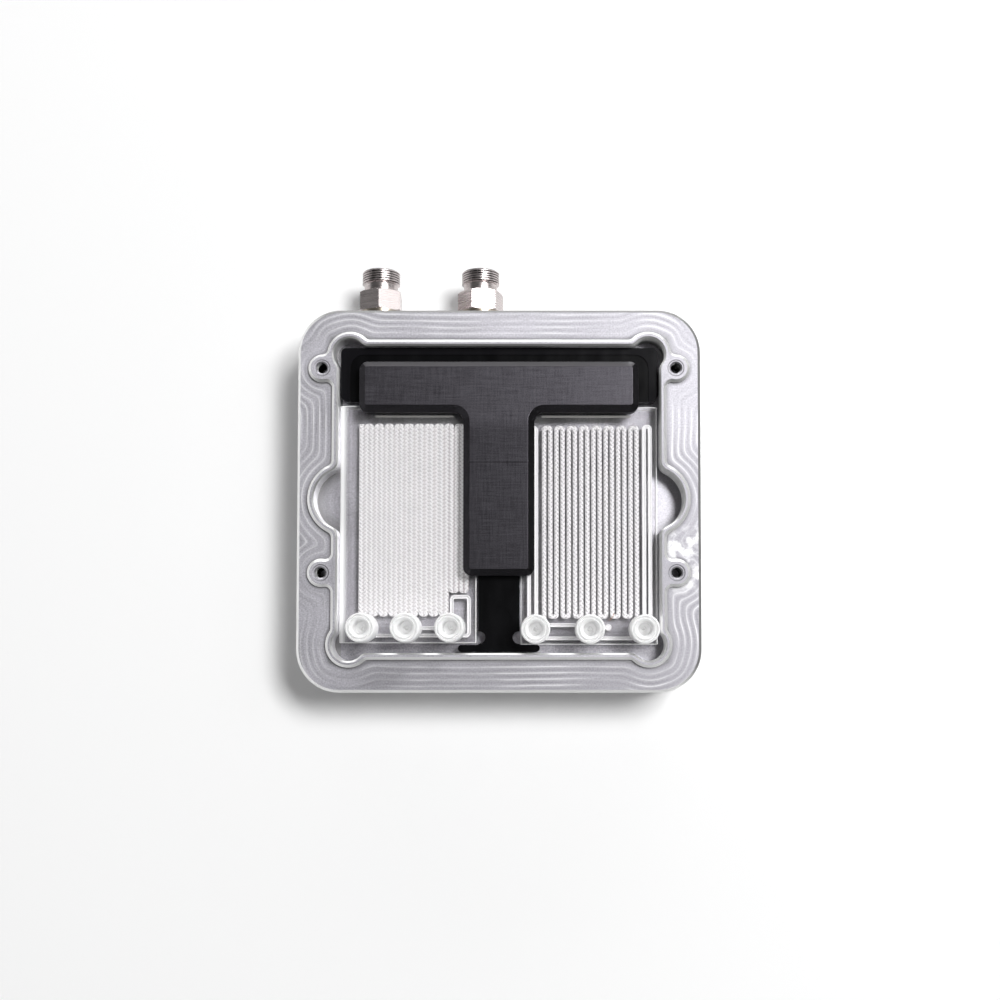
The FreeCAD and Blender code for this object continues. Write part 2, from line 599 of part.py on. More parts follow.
def build_coarse_chip():
    """Right chip: wider mixing channels between two pairs of plain ones."""
    body, middle, left, right, front, back = chip_slab("chip_right", "right", "-chip_slack")
    row = "(%s + port_inset)" % front
    first = "(%s + coarse_first)" % left
    last = "(%s + (coarse_count - 1) * coarse_pitch)" % first
    far_end, near_end = "(%s - mixer_back_margin)" % back, "(%s + coarse_front)" % front
    coarse, second = ("coarse_pitch", "coarse_width"), "(%s + coarse_pitch)" % first
    back_line, front_line = "%s - coarse_width / 2" % far_end, "%s + coarse_width / 2" % near_end
    mixer_row(body, "leg", coarse, "coarse_count", first, near_end, far_end)
    bend_row(body, "back_bend", coarse, "coarse_count / 2", first, back_line)
    bend_row(body, "front_bend", coarse, "(coarse_count - 2) / 2", second, front_line)

    ports = drill_vias(body, middle, row, "port_pitch_coarse")
    feed_outer = "(%s + feed_margin)" % left
    feed_inner = "(%s + feed_pitch)" % feed_outer
    return_outer = "(%s - return_margin)" % right
    return_inner = "(%s - return_pitch)" % return_outer
    upper, lower = "(%s + feed_rise)" % row, "(%s - return_drop)" % row
    feed_arch = "(%s - (feed_pitch + plain_width) / 2)" % far_end
    return_arch = "(%s - (return_pitch + plain_width) / 2)" % far_end
    channel_arch(body, "feed_arch", "%s + feed_pitch / 2" % feed_outer, feed_arch, "feed_pitch",
                 "plain_width")
    channel_arch(body, "return_arch", "%s - return_pitch / 2" % return_outer, return_arch,
                 "return_pitch", "plain_width")
    chamber = "(%s + chamber_offset)" % ports[1]
    channel_set(body,
                (("feed_outer", feed_outer, lower, feed_arch), ("feed_inner", feed_inner, row, feed_arch),
                 ("return_outer", return_outer, lower, return_arch),
                 ("return_inner", return_inner, row, return_arch),
                 ("first_drop", first, upper, front_line), ("last_drop", last, row, front_line),
                 ("middle_drop", ports[1], row, upper)),
                (("lower_line", feed_outer, return_outer, lower),
                 ("upper_line", feed_inner, ports[1], upper),
                 ("first_link", ports[0], feed_inner, row), ("last_link", last, return_inner, row),
                 ("chamber_link", ports[1], chamber, "%s + chamber_rise" % row)))
    rod(body, "chamber", "chamber_radius", "channel_depth",
        (chamber, "%s + chamber_rise" % row, CHANNEL_LEVEL), cut=True)
    return ports, row


def build_ports(side, places, row):
    """Bonded cups with a flat-bottomed screw socket over each via."""
    for number, x in enumerate(places, start=1):
        body = new_body("port_%s_%d" % (side, number))
        cup = rod(body, "cup", "port_radius", "port_height", (x, row, CHIP_TOP))
        top = size("pocket_floor") + size("chip_thickness") + size("port_height")
        dress(body, "Chamfer", "rim", cup, flat_edges(cup, top), "port_chamfer")
        rim = "%s + port_height" % CHIP_TOP
        rod(body, "socket", "socket_radius", "socket_depth", (x, row, "%s - socket_depth" % rim),
            cut=True)
        cone(body, "mouth", "socket_radius", "socket_mouth", "socket_sink",
             (x, row, "%s - socket_sink" % rim), cut=True)
        rod(body, "via", "via_radius", "port_height", (x, row, CHIP_TOP), cut=True)


# ---------------------------------------------------------------------------------------------
# Locator between the chips, and the clamp bar above it
# ---------------------------------------------------------------------------------------------
def build_locator():
    body = new_body("chip_locator")
    height = "(chip_thickness - locator_drop)"
    top = size("pocket_floor") + size("chip_thickness") - size("locator_drop")
    head_width = "(pocket_width - 2 * locator_clearance)"
    head_back = "(%s - locator_back_gap)" % POCKET_BACK
    head_front = "(%s - locator_head)" % head_back
    foot_front = "(%s + locator_clearance)" % POCKET_FRONT
    head = brick(body, "head", (head_width, "locator_head", height),
                 ("0", "%s - locator_head / 2" % head_back, "pocket_floor"))
    middle = (size("pocket_shift") + size("pocket_length") / 2 - size("locator_back_gap")
              - size("locator_head") / 2)
    back_corners = upright_edges(head, size("pocket_floor"), top, lambda x, y: y > middle)
    head = dress(body, "Fillet", "back_corners", head, back_corners, "locator_back_corner")
    front_corners = upright_edges(head, size("pocket_floor"), top, lambda x, y: y < middle - 5)
    dress(body, "Fillet", "front_corners", head, front_corners, "locator_front_corner")
    foot = brick(body, "foot", ("locator_foot_width", "locator_foot_depth", height),
                 ("0", "%s + locator_foot_depth / 2" % foot_front, "pocket_floor"))
    ends = upright_edges(foot, size("pocket_floor"), top, lambda x, y: y < 0)
    dress(body, "Fillet", "foot_ends", foot, ends, "locator_foot_depth / 2 - 0.05")
    brick(body, "stem", ("locator_stem", "%s - %s + 1" % (head_front, foot_front), height),
          ("0", "(%s + %s + 1) / 2" % (head_front, foot_front), "pocket_floor"))
    for side, sx in SIDES:
        rod(body, "notch_" + side, "locator_notch", height,
            ("%d * locator_notch_x" % sx, "-locator_notch_y", "pocket_floor"), cut=True)
    for name, x, y in clamp_screw_places():
        rod(body, "passage_" + name, "clamp_screw_radius + clamp_screw_clearance", height,
            (x, y, "pocket_floor"), cut=True)
    lowered = "(%s - locator_drop - locator_recess_depth)" % CHIP_TOP
    recess_length = "(locator_head - locator_border_back)"
    recess = brick(body, "recess", ("%s - 2 * locator_border_side" % head_width, recess_length,
                                    "locator_recess_depth"),
                   ("0", "%s + %s / 2" % (head_front, recess_length), lowered), cut=True)
    inner = upright_edges(recess, top - size("locator_recess_depth"), top, lambda x, y: y > middle)
    dress(body, "Fillet", "recess_corners", recess, inner, "locator_recess_corner")
    rod(body, "spot", "locator_spot_radius", "locator_spot_depth",
        ("0", "-locator_spot_y", "%s - locator_drop - locator_spot_depth" % CHIP_TOP), cut=True)


def build_clamp():
    body = new_body("clamp_bar")
    low = size("pocket_floor") + size("chip_thickness")
    top = low + size("clamp_thickness")
    head_front = "(clamp_back - clamp_head_depth)"
    brick(body, "head", ("clamp_head_width", "clamp_head_depth", "clamp_thickness"),
          ("0", "clamp_back - clamp_head_depth / 2", CHIP_TOP))
    stem = brick(body, "stem", ("clamp_stem_width", "%s + clamp_end + 1" % head_front,
                                "clamp_thickness"),
                 ("0", "(%s - clamp_end + 1) / 2" % head_front, CHIP_TOP))
    inside = size("clamp_stem_width") / 2 + 0.1
    front_line = size("clamp_back") - size("clamp_head_depth")
    outer = upright_edges(stem, low, top, lambda x, y: abs(x) > inside or y < front_line - 1)
    stem = dress(body, "Fillet", "outer_corners", stem, outer, "clamp_corner")
    inner = upright_edges(stem, low, top, lambda x, y: abs(x) < inside and near(y, front_line, 0.1))
    stem = dress(body, "Fillet", "inner_corners", stem, inner, "clamp_inner_corner")
    dress(body, "Chamfer", "top_edges", stem, flat_edges(stem, top), "clamp_chamfer")
    for name, x, y in clamp_screw_places():
        rod(body, "thread_" + name, "clamp_screw_radius", "clamp_hole_top - %s" % CHIP_TOP,
            (x, y, CHIP_TOP), cut=True)


def build_clamp_screws():
    """Socket-head screws that come up from the underside of the block."""
    for name, x, y in clamp_screw_places():
        body = new_body("clamp_screw_" + name)
        base = "(clamp_screw_seat - clamp_screw_head_height)"
        rod(body, "head", "clamp_screw_head", "clamp_screw_head_height", (x, y, base))
        rod(body, "shank", "clamp_screw_radius", "clamp_screw_tip - clamp_screw_seat",
            (x, y, "clamp_screw_seat"))
        prism(body, "key_socket", "clamp_key_flats / sqrt(3)", "clamp_key_depth", (x, y, base), 0,
              cut=True)


# ---------------------------------------------------------------------------------------------
# Build, check and export
# ---------------------------------------------------------------------------------------------
build_block()
build_gasket()
build_closure_plate()
build_plate_screws()
build_fittings()
for side, build_chip in (("left", build_fine_chip), ("right", build_coarse_chip)):
    port_places, port_row = build_chip()
    build_ports(side, port_places, port_row)
build_locator()
build_clamp()
build_clamp_screws()
bodies = doc.findObjects("PartDesign::Body")
for body in bodies:
    body.Tip.Refine = True
doc.recompute()

faults = [item.Name for item in doc.Objects if "Invalid" in item.State or "Error" in item.State]
if faults:
    raise RuntimeError("features that did not build: " + ", ".join(faults))

os.makedirs("parts", exist_ok=True)
for body in bodies:
    if body.Shape.isNull() or not body.Shape.isValid() or len(body.Shape.Solids) != 1:
        raise RuntimeError("no single sound solid: " + body.Label)
    body.Shape.exportStep(os.path.join("parts", body.Label + ".step"))
    print("%-24s %10.1f mm3" % (body.Label, body.Shape.Volume))
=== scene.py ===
"""Looks of the chip module: metal, glass channels, ports, fittings, floor, light and camera.

The part's sizes are in millimetres, as in its source, and `MM` turns them into the frame's metres.
The stage, the lamps and the camera are placed in metres.
"""
import math

import bmesh
import bpy
from mathutils import Matrix, Vector


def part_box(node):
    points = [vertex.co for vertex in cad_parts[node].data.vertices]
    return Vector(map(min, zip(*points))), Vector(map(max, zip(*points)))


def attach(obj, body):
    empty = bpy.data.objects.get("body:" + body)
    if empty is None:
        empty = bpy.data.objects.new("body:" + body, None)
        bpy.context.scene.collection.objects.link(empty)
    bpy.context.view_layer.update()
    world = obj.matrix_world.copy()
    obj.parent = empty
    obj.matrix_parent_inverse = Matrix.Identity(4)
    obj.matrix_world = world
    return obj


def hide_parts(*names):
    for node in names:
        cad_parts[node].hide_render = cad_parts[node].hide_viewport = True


MM = 0.001
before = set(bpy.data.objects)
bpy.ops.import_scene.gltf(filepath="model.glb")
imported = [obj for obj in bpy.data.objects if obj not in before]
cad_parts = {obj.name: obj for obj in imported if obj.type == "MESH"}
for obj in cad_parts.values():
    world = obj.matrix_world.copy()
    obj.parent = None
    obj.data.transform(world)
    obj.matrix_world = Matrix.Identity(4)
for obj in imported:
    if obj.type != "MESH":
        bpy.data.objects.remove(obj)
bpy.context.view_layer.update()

# Levels above the floor
SHELF = 28.0
LIP_TOP = 30.0
POCKET_FLOOR = 20.5
CHIP_TOP = 26.5
CLAMP_TOP = 33.0

# Plan of the block: half sizes, and (across, along, radius) of the rounds that widen the lip
BLOCK_BACK = 80.1
POCKET_HALF_WIDTH = 67.0
POCKET_SHIFT = 0.4
LIP_WIDTH = 2.75
LIP_HALF_WIDTH = POCKET_HALF_WIDTH + LIP_WIDTH
CORNER_RELIEF = (62.3, 60.6, 6.8 + LIP_WIDTH)
SCOOP = (64.2, 0.0, 12.8 + LIP_WIDTH)
BOSS = (73.75, 42.75, 5.9)
BOSS_SHIFT = 12.3
DRILL_RADIUS = 2.1
SINK_RADIUS = 2.7

# Tool tracks on the shelf; their outline is 0.4 longer at both ends than the lip
TRACK_HALF_LENGTH = 67.25
TRACK_PITCH = 2.6

# Coolant fittings: place across and turn of the hexagon in degrees, then lengths from BLOCK_BACK
FITTINGS = {"left": (-51.15, 31.2), "right": (-8.45, 11.0)}
FITTING_HEIGHT = 15.5
WASHER = 1.9
HEX_LENGTH = 8.5
HEX_FLATS = 17.0
HEX_END = WASHER + HEX_LENGTH
THREAD_START = HEX_END + 3.3
THREAD_END = THREAD_START + 5.8
THREAD_CREST = 8.0
THREAD_ROOT = 7.5
THREAD_PITCH = 1.0

# Channels of both chips: margins from the chip's edges, and the levels of the ribbons in them
PLAIN_WIDTH = 1.6
BACK_MARGIN = 7.3
PORT_INSET = 6.3
RIBBON_FLOOR = 23.34
RIBBON_ROOF = 24.46

# Left chip: fine serpentine and the loop at the inner front corner
FINE_WIDTH = 1.6
FINE_PITCH = 2.1
FINE_LEGS = 22
FINE_SHORT_LEGS = 4
FINE_FIRST = 8.6
FINE_FRONT = 11.4
FINE_SHORT_FRONT = 21.2
FINE_OUTLET_LEG = 16.5
FINE_PORT_PITCH = 18.1
LOOP_DROP = 3.1
LOOP_BACK = 19.4
LOOP_MARGIN = 3.2

# Right chip: wide serpentine, feed and return beside it, and the filled chamber
COARSE_WIDTH = 1.9
COARSE_PITCH = 2.592
COARSE_LEGS = 16
COARSE_FIRST = 9.8
COARSE_FRONT = 10.8
COARSE_PORT_PITCH = 22.25
FEED_MARGIN = 3.5
FEED_PITCH = 3.0
FEED_RISE = 1.85
RETURN_WIDTH = 1.7
RETURN_MARGIN = 2.75
RETURN_PITCH = 2.5
RETURN_DROP = 3.65
CHAMBER_OFFSET = 8.1
CHAMBER_RISE = 0.9


# ---------------------------------------------------------------------------------------------
# Shader nets
# ---------------------------------------------------------------------------------------------
class Net:
    """A material with a Principled shader, and short calls for the nodes that feed it."""

    def __init__(self, name, **values):
        self.material = bpy.data.materials.new(name)
        self.material.use_nodes = True
        self.tree = self.material.node_tree
        self.output = self.tree.nodes["Material Output"]
        self.shader = self.tree.nodes["Principled BSDF"]
        for socket, value in values.items():
            self.shader.inputs[socket.replace("_", " ")].default_value = value
        self.place = self.node("ShaderNodeTexCoord").outputs["Object"]

    def node(self, kind, **settings):
        made = self.tree.nodes.new(kind)
        for key, value in settings.items():
            setattr(made, key, value)
        return made

    def feed(self, socket, value):
        if isinstance(value, bpy.types.NodeSocket):
            self.tree.links.new(value, socket)
        else:
            socket.default_value = value

    def math(self, operation, *values, clamp=False):
        made = self.node("ShaderNodeMath", operation=operation, use_clamp=clamp)
        for socket, value in zip(made.inputs, values):
            self.feed(socket, value)
        return made.outputs[0]

    def times(self, first, second):
        return self.math("MULTIPLY", first, second)

    def plus(self, first, second):
        return self.math("ADD", first, second)

    def minus(self, first, second):
        return self.math("SUBTRACT", first, second)

    def larger(self, first, second):
        return self.math("MAXIMUM", first, second)

    def unsigned(self, value):
        return self.math("ABSOLUTE", value)

    def above(self, value, limit):
        return self.math("GREATER_THAN", value, limit)

    def below(self, value, limit):
        return self.math("LESS_THAN", value, limit)

    def near(self, value, centre, half):
        """1 where the value is within half of the centre, else 0."""
        return self.below(self.unsigned(self.minus(value, centre)), half)

    def vector(self, operation, *values):
        made = self.node("ShaderNodeVectorMath", operation=operation)
        for socket, value in zip(made.inputs, values):
            self.feed(socket, value)
        return made.outputs["Value" if operation in ("LENGTH", "DISTANCE") else "Vector"]

    def split(self, vector):
        made = self.node("ShaderNodeSeparateXYZ")
        self.feed(made.inputs[0], vector)
        return made.outputs

    def join(self, x, y, z=0.0):
        made = self.node("ShaderNodeCombineXYZ")
        for socket, value in zip(made.inputs, (x, y, z)):
            self.feed(socket, value)
        return made.outputs[0]

    def surface(self):
        return self.node("ShaderNodeNewGeometry").outputs

    def noise(self, scale, detail=2.0, stretch=(1, 1, 1), place=None, roughness=0.5):
        where = self.vector("MULTIPLY", place or self.place, stretch)
        made = self.node("ShaderNodeTexNoise")
        for key, value in (("Vector", where), ("Scale", scale), ("Detail", detail),
                           ("Roughness", roughness)):
            self.feed(made.inputs[key], value)
        return made.outputs[0]

    def span(self, value, low, high, to_low=0.0, to_high=1.0):
        made = self.node("ShaderNodeMapRange")
        for socket, entry in zip(made.inputs, (value, low, high, to_low, to_high)):
            self.feed(socket, entry)
        return made.outputs[0]

    def blend(self, factor, first, second):
        made = self.node("ShaderNodeMix", data_type="RGBA")
        self.feed(made.inputs["Factor"], factor)
        for socket, value in ((made.inputs[6], first), (made.inputs[7], second)):
            self.feed(socket, value if isinstance(value, bpy.types.NodeSocket) else (*value, 1.0))
        return made.outputs[2]

    def blend_shaders(self, share, first, second):
        made = self.node("ShaderNodeMixShader")
        for socket, value in zip(made.inputs, (share, first, second)):
            self.feed(socket, value)
        return made.outputs[0]

    def bump(self, height, distance, strength=1.0, normal=None):
        made = self.node("ShaderNodeBump")
        self.feed(made.inputs["Height"], height)
        if normal is not None:
            self.feed(made.inputs["Normal"], normal)
        made.inputs["Distance"].default_value = distance
        made.inputs["Strength"].default_value = strength
        self.feed(self.shader.inputs["Normal"], made.outputs[0])

    def set(self, socket, value):
        self.feed(self.shader.inputs[socket], value)


# ---------------------------------------------------------------------------------------------
# The block's metal
# ---------------------------------------------------------------------------------------------
def track_distance(net, x, y, soft):
    """Distance outside the outline that the tool tracks follow: lip, reliefs, scoops and bosses."""
    across = net.unsigned(x)
    along = net.unsigned(net.minus(y, POCKET_SHIFT * MM))
    over_x = net.minus(across, LIP_HALF_WIDTH * MM)
    over_y = net.minus(along, TRACK_HALF_LENGTH * MM)
    corner = net.vector("LENGTH", net.join(net.larger(over_x, 0.0), net.larger(over_y, 0.0)))
    distance = net.plus(corner, net.math("MINIMUM", net.larger(over_x, over_y), 0.0))
    beside_boss = net.unsigned(net.minus(y, BOSS_SHIFT * MM))
    rounds = ((along, CORNER_RELIEF), (along, SCOOP), (beside_boss, BOSS))
    for off, (centre_x, centre_y, radius) in rounds:
        there = net.vector("DISTANCE", net.join(across, off), (centre_x * MM, centre_y * MM, 0))
        distance = net.math("SMOOTH_MIN", distance, net.minus(there, radius * MM), soft * MM)
    return distance


def cutter_swirl(net, x, y):
    """The patch beside the right front boss where the cutter left swirls and bright scrapes."""
    from_middle = net.unsigned(net.plus(y, 25 * MM))
    return net.times(net.span(x, 66 * MM, 70 * MM), net.span(from_middle, 9 * MM, 15 * MM, 1.0, 0.0))


def tool_tracks(net, distance, swirl):
    """Bright ridges and dark valleys of the tracks, which wander a little and fade in patches."""
    wander = net.times(net.minus(net.noise(26, 2), 0.5), 2.0 * MM)
    stir = net.times(net.minus(net.noise(120, 2), 0.5), 7.0 * MM)
    wander = net.plus(wander, net.times(stir, swirl))
    track = net.math("DIVIDE", net.plus(distance, wander), TRACK_PITCH * MM)
    phase = net.times(net.unsigned(net.minus(net.math("FRACT", track), 0.5)), 2.0)
    fade = net.span(net.noise(34, 3), 0.40, 0.62, 0.12, 1.0)
    ridge = net.times(net.math("POWER", phase, 3.6), fade)
    valley = net.times(net.math("POWER", net.minus(1.0, phase), 3.4), fade)
    return ridge, valley


def shelf_colour(net, x, y, tone, ridge, valley, distance, on_shelf, swirl):
    """Milled shelf with painted shade: darker to the right and in front, and a painted shadow line
    along the lip's foot; with its tracks and scrapes.
    """
    colour = net.blend(tone, (0.40, 0.391, 0.424), (0.66, 0.647, 0.697))
    # painted shade: the shelf is darkened toward the right and the right back, standing in for the
    # lamp's fall-off
    right_side = net.times(net.span(x, 35 * MM, 70 * MM), net.span(y, 48 * MM, 15 * MM))
    right_back = net.span(net.plus(x, y), 40 * MM, 150 * MM)
    shade = net.larger(net.times(right_side, 0.50), net.times(right_back, 0.32))
    colour = net.blend(shade, colour, (0.28, 0.273, 0.297))
    # painted shade: the shelf is darkened in front
    front = net.times(net.span(y, -60 * MM, -70 * MM, 0.0, 0.34),
                      net.span(net.unsigned(x), 50 * MM, 72 * MM, 1.0, 0.0))
    colour = net.blend(net.times(front, on_shelf), colour, (0.20, 0.195, 0.21))
    # the valleys darken more toward the right back, as part of the same painted shade
    depth = net.times(valley, net.span(right_back, 0.0, 1.0, 0.30, 0.55))
    colour = net.blend(depth, colour, (0.22, 0.215, 0.23))
    colour = net.blend(net.times(ridge, 0.66), colour, (0.92, 0.92, 0.93))
    scrape = net.times(net.span(net.noise(260, 4), 0.44, 0.62, 0.0, 0.75), swirl)
    colour = net.blend(net.times(scrape, on_shelf), colour, (0.98, 0.98, 0.98))
    # painted shadow: a dark line on the shelf along the foot of the lip
    foot_shadow = net.times(net.span(distance, 0.15 * MM, 1.2 * MM, 1.0, 0.0), on_shelf)
    return net.blend(net.times(foot_shadow, 0.62), colour, (0.12, 0.12, 0.125))


def pocket_colour(net, x, y, tone):
    """Pocket floor, with painted shade in front of the chips and at the rim of each scoop."""
    colour = net.blend(tone, (0.42, 0.41, 0.444), (0.64, 0.626, 0.676))
    # painted shade: the floor strip in front of the chips is darker, as if in the lip's shade
    front_strip_shade = net.span(y, -55 * MM, -60 * MM, 0.0, 0.62)
    colour = net.blend(front_strip_shade, colour,
                       net.blend(tone, (0.13, 0.127, 0.138), (0.30, 0.294, 0.317)))
    across = net.unsigned(x)
    from_scoop = net.vector("DISTANCE", net.join(across, y), (SCOOP[0] * MM, POCKET_SHIFT * MM, 0))
    # painted shade: a dark ring at the rim of each scoop, stronger on the left
    rim_shade_strength = net.span(x, -1 * MM, 1 * MM, 0.85, 0.24)
    scoop_rim_shade = net.times(net.span(from_scoop, 7.5 * MM, 12.0 * MM, 0.05, rim_shade_strength),
                     net.above(across, (POCKET_HALF_WIDTH - 0.4) * MM))
    return net.blend(scoop_rim_shade, colour, (0.24, 0.235, 0.24))


def chamfer_light_and_shade(net, z, lean):
    """Chamfers with painted light: a painted reflection makes them bright where they face left or
    front, grey elsewhere, and painted shade makes them dark on the block's rim.
    """
    shaded_side = net.span(net.plus(lean[0], lean[1]), -0.3, 0.4)
    rim = net.below(z, (SHELF + 0.05) * MM)
    return net.blend(shaded_side, (0.99, 0.99, 0.99), net.blend(rim, (0.74, 0.74, 0.74), (0.26, 0.26, 0.26)))


def hole_colour(net, x, y, z, lean, cut, wall, colour):
    """Cover holes: a grey countersink, a drilled wall painted dark as shade, and a painted highlight
    crescent near its mouth.
    """
    beside_boss = net.unsigned(net.minus(y, BOSS_SHIFT * MM))
    reach = net.vector("DISTANCE", net.join(net.unsigned(x), beside_boss),
                       (BOSS[0] * MM, BOSS[1] * MM, 0))
    sink = net.times(net.below(reach, (SINK_RADIUS + 0.7) * MM), cut)
    colour = net.blend(sink, colour, (0.40, 0.395, 0.42))
    # painted shade inside the drilled wall, and a painted highlight crescent near its mouth
    drilled_shade = net.times(net.below(reach, (DRILL_RADIUS + 0.15) * MM), wall)
    lit_crescent_highlight = net.times(net.above(lean[0], 0.2), net.above(z, (LIP_TOP - 3.5) * MM))
    return net.blend(drilled_shade, colour, net.blend(lit_crescent_highlight, (0.03, 0.03, 0.03), (0.95, 0.95, 0.95)))


def milled_aluminium():
    """Bright alloy: tracks that follow the lip on the shelf, smooth chamfers, streaked walls; the
    pocket walls are painted lighter as a painted highlight, and the chamfers, cover holes and lip's
    inner edge carry painted light and shade.
    """
    net = Net("milled_aluminium", Metallic=1.0, Roughness=0.5)
    x, y, z = net.split(net.place)
    facing = net.surface()["Normal"]
    lean = net.split(facing)
    upright = net.unsigned(lean[2])
    level = net.above(upright, 0.93)
    cut = net.near(upright, 0.70, 0.18)
    wall = net.below(upright, 0.3)
    on_shelf = net.times(net.near(z, SHELF * MM, 0.2 * MM), level)
    on_floor = net.times(net.near(z, POCKET_FLOOR * MM, 0.2 * MM), level)
    on_lip = net.times(net.near(z, LIP_TOP * MM, 0.2 * MM), level)

    distance = track_distance(net, x, y, 4.0)
    sharp_distance = track_distance(net, x, y, 0.01)
    inner = net.times(wall, net.below(distance, -1.0 * MM))
    swirl = cutter_swirl(net, x, y)
    ridge, valley = tool_tracks(net, distance, swirl)
    ridge = net.times(ridge, on_shelf)
    drag = net.noise(1.0, 3, place=net.join(net.times(distance, 900.0), net.times(x, 40.0),
                                            net.times(y, 40.0)))
    grain = net.noise(1500, 2, roughness=0.7)
    streak = net.noise(500, 2, stretch=(1, 1, 0.03))
    patch = net.noise(60, 3)

    tone = net.plus(net.times(grain, 0.50), net.times(drag, 0.28))
    tone = net.span(net.plus(tone, net.times(patch, 0.22)), 0.38, 0.62)
    colour = shelf_colour(net, x, y, tone, ridge, valley, distance, on_shelf, swirl)
    colour = net.blend(on_floor, colour, pocket_colour(net, x, y, tone))
    colour = net.blend(wall, colour, net.blend(streak, (0.60, 0.595, 0.605), (0.84, 0.835, 0.845)))
    # painted highlight: the pocket's walls are painted lighter than the outer walls
    colour = net.blend(inner, colour, net.blend(streak, (0.72, 0.72, 0.73), (1.0, 1.0, 1.0)))
    colour = net.blend(cut, colour, chamfer_light_and_shade(net, z, lean))
    # painted shade: a dark line along the lip's inner edge
    inner_edge_shade = net.times(net.near(sharp_distance, (0.2 - LIP_WIDTH) * MM, 0.22 * MM), on_lip)
    colour = net.blend(net.times(inner_edge_shade, 0.5), colour, (0.10, 0.10, 0.105))
    net.set("Base Color", hole_colour(net, x, y, z, lean, cut, wall, colour))

    rough = net.span(net.plus(patch, net.times(drag, 0.5)), 0.4, 1.1, 0.52, 0.63)
    rough = net.minus(rough, net.times(net.larger(cut, inner), 0.26))
    net.set("Roughness", net.minus(rough, net.times(on_floor, 0.10)))
    matt = net.plus(net.times(inner, 0.25), net.times(wall, 0.15))
    net.set("Metallic", net.minus(1.0, matt))

    height = net.times(net.plus(net.times(ridge, 0.8), net.times(drag, 0.45)), on_shelf)
    height = net.plus(height, net.times(grain, net.times(level, 0.35)))
    inner_edge = net.span(sharp_distance, -LIP_WIDTH * MM, (0.3 - LIP_WIDTH) * MM)
    height = net.plus(height, net.times(net.times(inner_edge, on_lip), 4.0))
    upward = net.plus(net.times(cut, 0.2),
                      net.times(inner, net.span(x, 0.0, 40 * MM, 0.25, 1.2)))
    raised = net.vector("ADD", facing, net.join(0.0, 0.0, upward))
    net.bump(height, 0.05 * MM, 0.8, net.vector("NORMALIZE", raised))
    return net.material


# ---------------------------------------------------------------------------------------------
# Other metals, plastics and rubber
# ---------------------------------------------------------------------------------------------
def thread_groove_shade(net):
    """Painted shade, how dark: nearly full in the thread's grooves and in the bore, none on the
    crests.
    """
    x, y, z = net.split(net.place)
    left, right = (FITTINGS[side][0] for side in ("left", "right"))
    axis = net.span(net.above(x, (left + right) / 2 * MM), 0, 1, left * MM, right * MM)
    radius = net.vector("LENGTH", net.join(net.minus(x, axis), net.minus(z, FITTING_HEIGHT * MM)))
    deep = net.span(radius, (THREAD_CREST - 0.20) * MM, (THREAD_CREST - 0.02) * MM, 0.92, 0.0)
    return net.times(deep, net.above(y, (BLOCK_BACK + THREAD_START + 0.5) * MM))


def turned_steel(name, colour, rough, groove_shade=False):
    """Turned metal; on the fittings the thread's grooves and the bore are painted darker as shade."""
    net = Net(name, Metallic=1.0, Roughness=rough)
    streak = net.noise(420, 3, stretch=(0.15, 4.0, 0.15))
    grain = net.noise(1800, 2)
    shade = net.plus(net.times(streak, 0.6), net.times(grain, 0.4))
    metal = net.blend(shade, [c * 0.92 for c in colour], [c * 1.08 for c in colour])
    if groove_shade:
        # painted shade in the thread's grooves and the bore
        metal = net.blend(thread_groove_shade(net), metal, (0.05, 0.045, 0.045))
    net.set("Base Color", metal)
    net.set("Roughness", net.span(streak, 0.3, 0.7, rough * 0.8, rough * 1.25))
    net.bump(shade, 0.02 * MM, 0.25)
    return net.material


def black_anodised():
    """Satin black with a crossed tool grain, a stem painted darker as shade, chamfers painted dark as
    shade and lighter at the back as a painted highlight, and one faint line across the stem.
    """
    net = Net("black_anodised", Metallic=1.0, Roughness=0.42)
    x, y, z = net.split(net.place)
    along = net.noise(1700, 3, stretch=(1, 0.06, 1))
    across = net.noise(1700, 3, stretch=(0.06, 1, 1))
    grain = net.noise(2400, 2)
    weave = net.plus(net.times(along, 0.5), net.times(across, 0.5))
    shade = net.span(net.plus(net.times(weave, 0.6), net.times(grain, 0.4)), 0.30, 0.70)
    colour = net.blend(shade, (0.042, 0.039, 0.046), (0.098, 0.094, 0.106))
    # painted shade: the stem is darker than the head
    stem_shade = net.times(net.span(y, 34 * MM, 28 * MM), net.near(x, 0, 15 * MM))
    colour = net.blend(net.times(stem_shade, 0.30), colour, (0.004, 0.004, 0.005))
    lean = net.split(net.surface()["Normal"])
    # painted shade: the chamfers are darkened, more where they face right
    edge = net.below(lean[2], 0.9)
    depth = net.span(lean[0], -0.5, 0.5, 0.42, 0.80)
    colour = net.blend(net.times(edge, depth), colour, (0.004, 0.004, 0.004))
    # painted highlight: the chamfers at the back are lighter
    rear_highlight = net.times(edge, net.above(lean[1], 0.55))
    colour = net.blend(net.times(rear_highlight, 0.6), colour, (0.19, 0.185, 0.195))
    line = net.times(net.near(y, 15.1 * MM, 0.18 * MM), net.near(x, 0, 12.1 * MM))
    line = net.times(line, net.above(z, (CLAMP_TOP - 0.2) * MM))
    net.set("Base Color", net.blend(net.times(line, 0.55), colour, (0.001, 0.001, 0.001)))
    net.set("Roughness", net.span(weave, 0.35, 0.65, 0.38, 0.50))
    net.bump(shade, 0.02 * MM, 0.6)
    return net.material


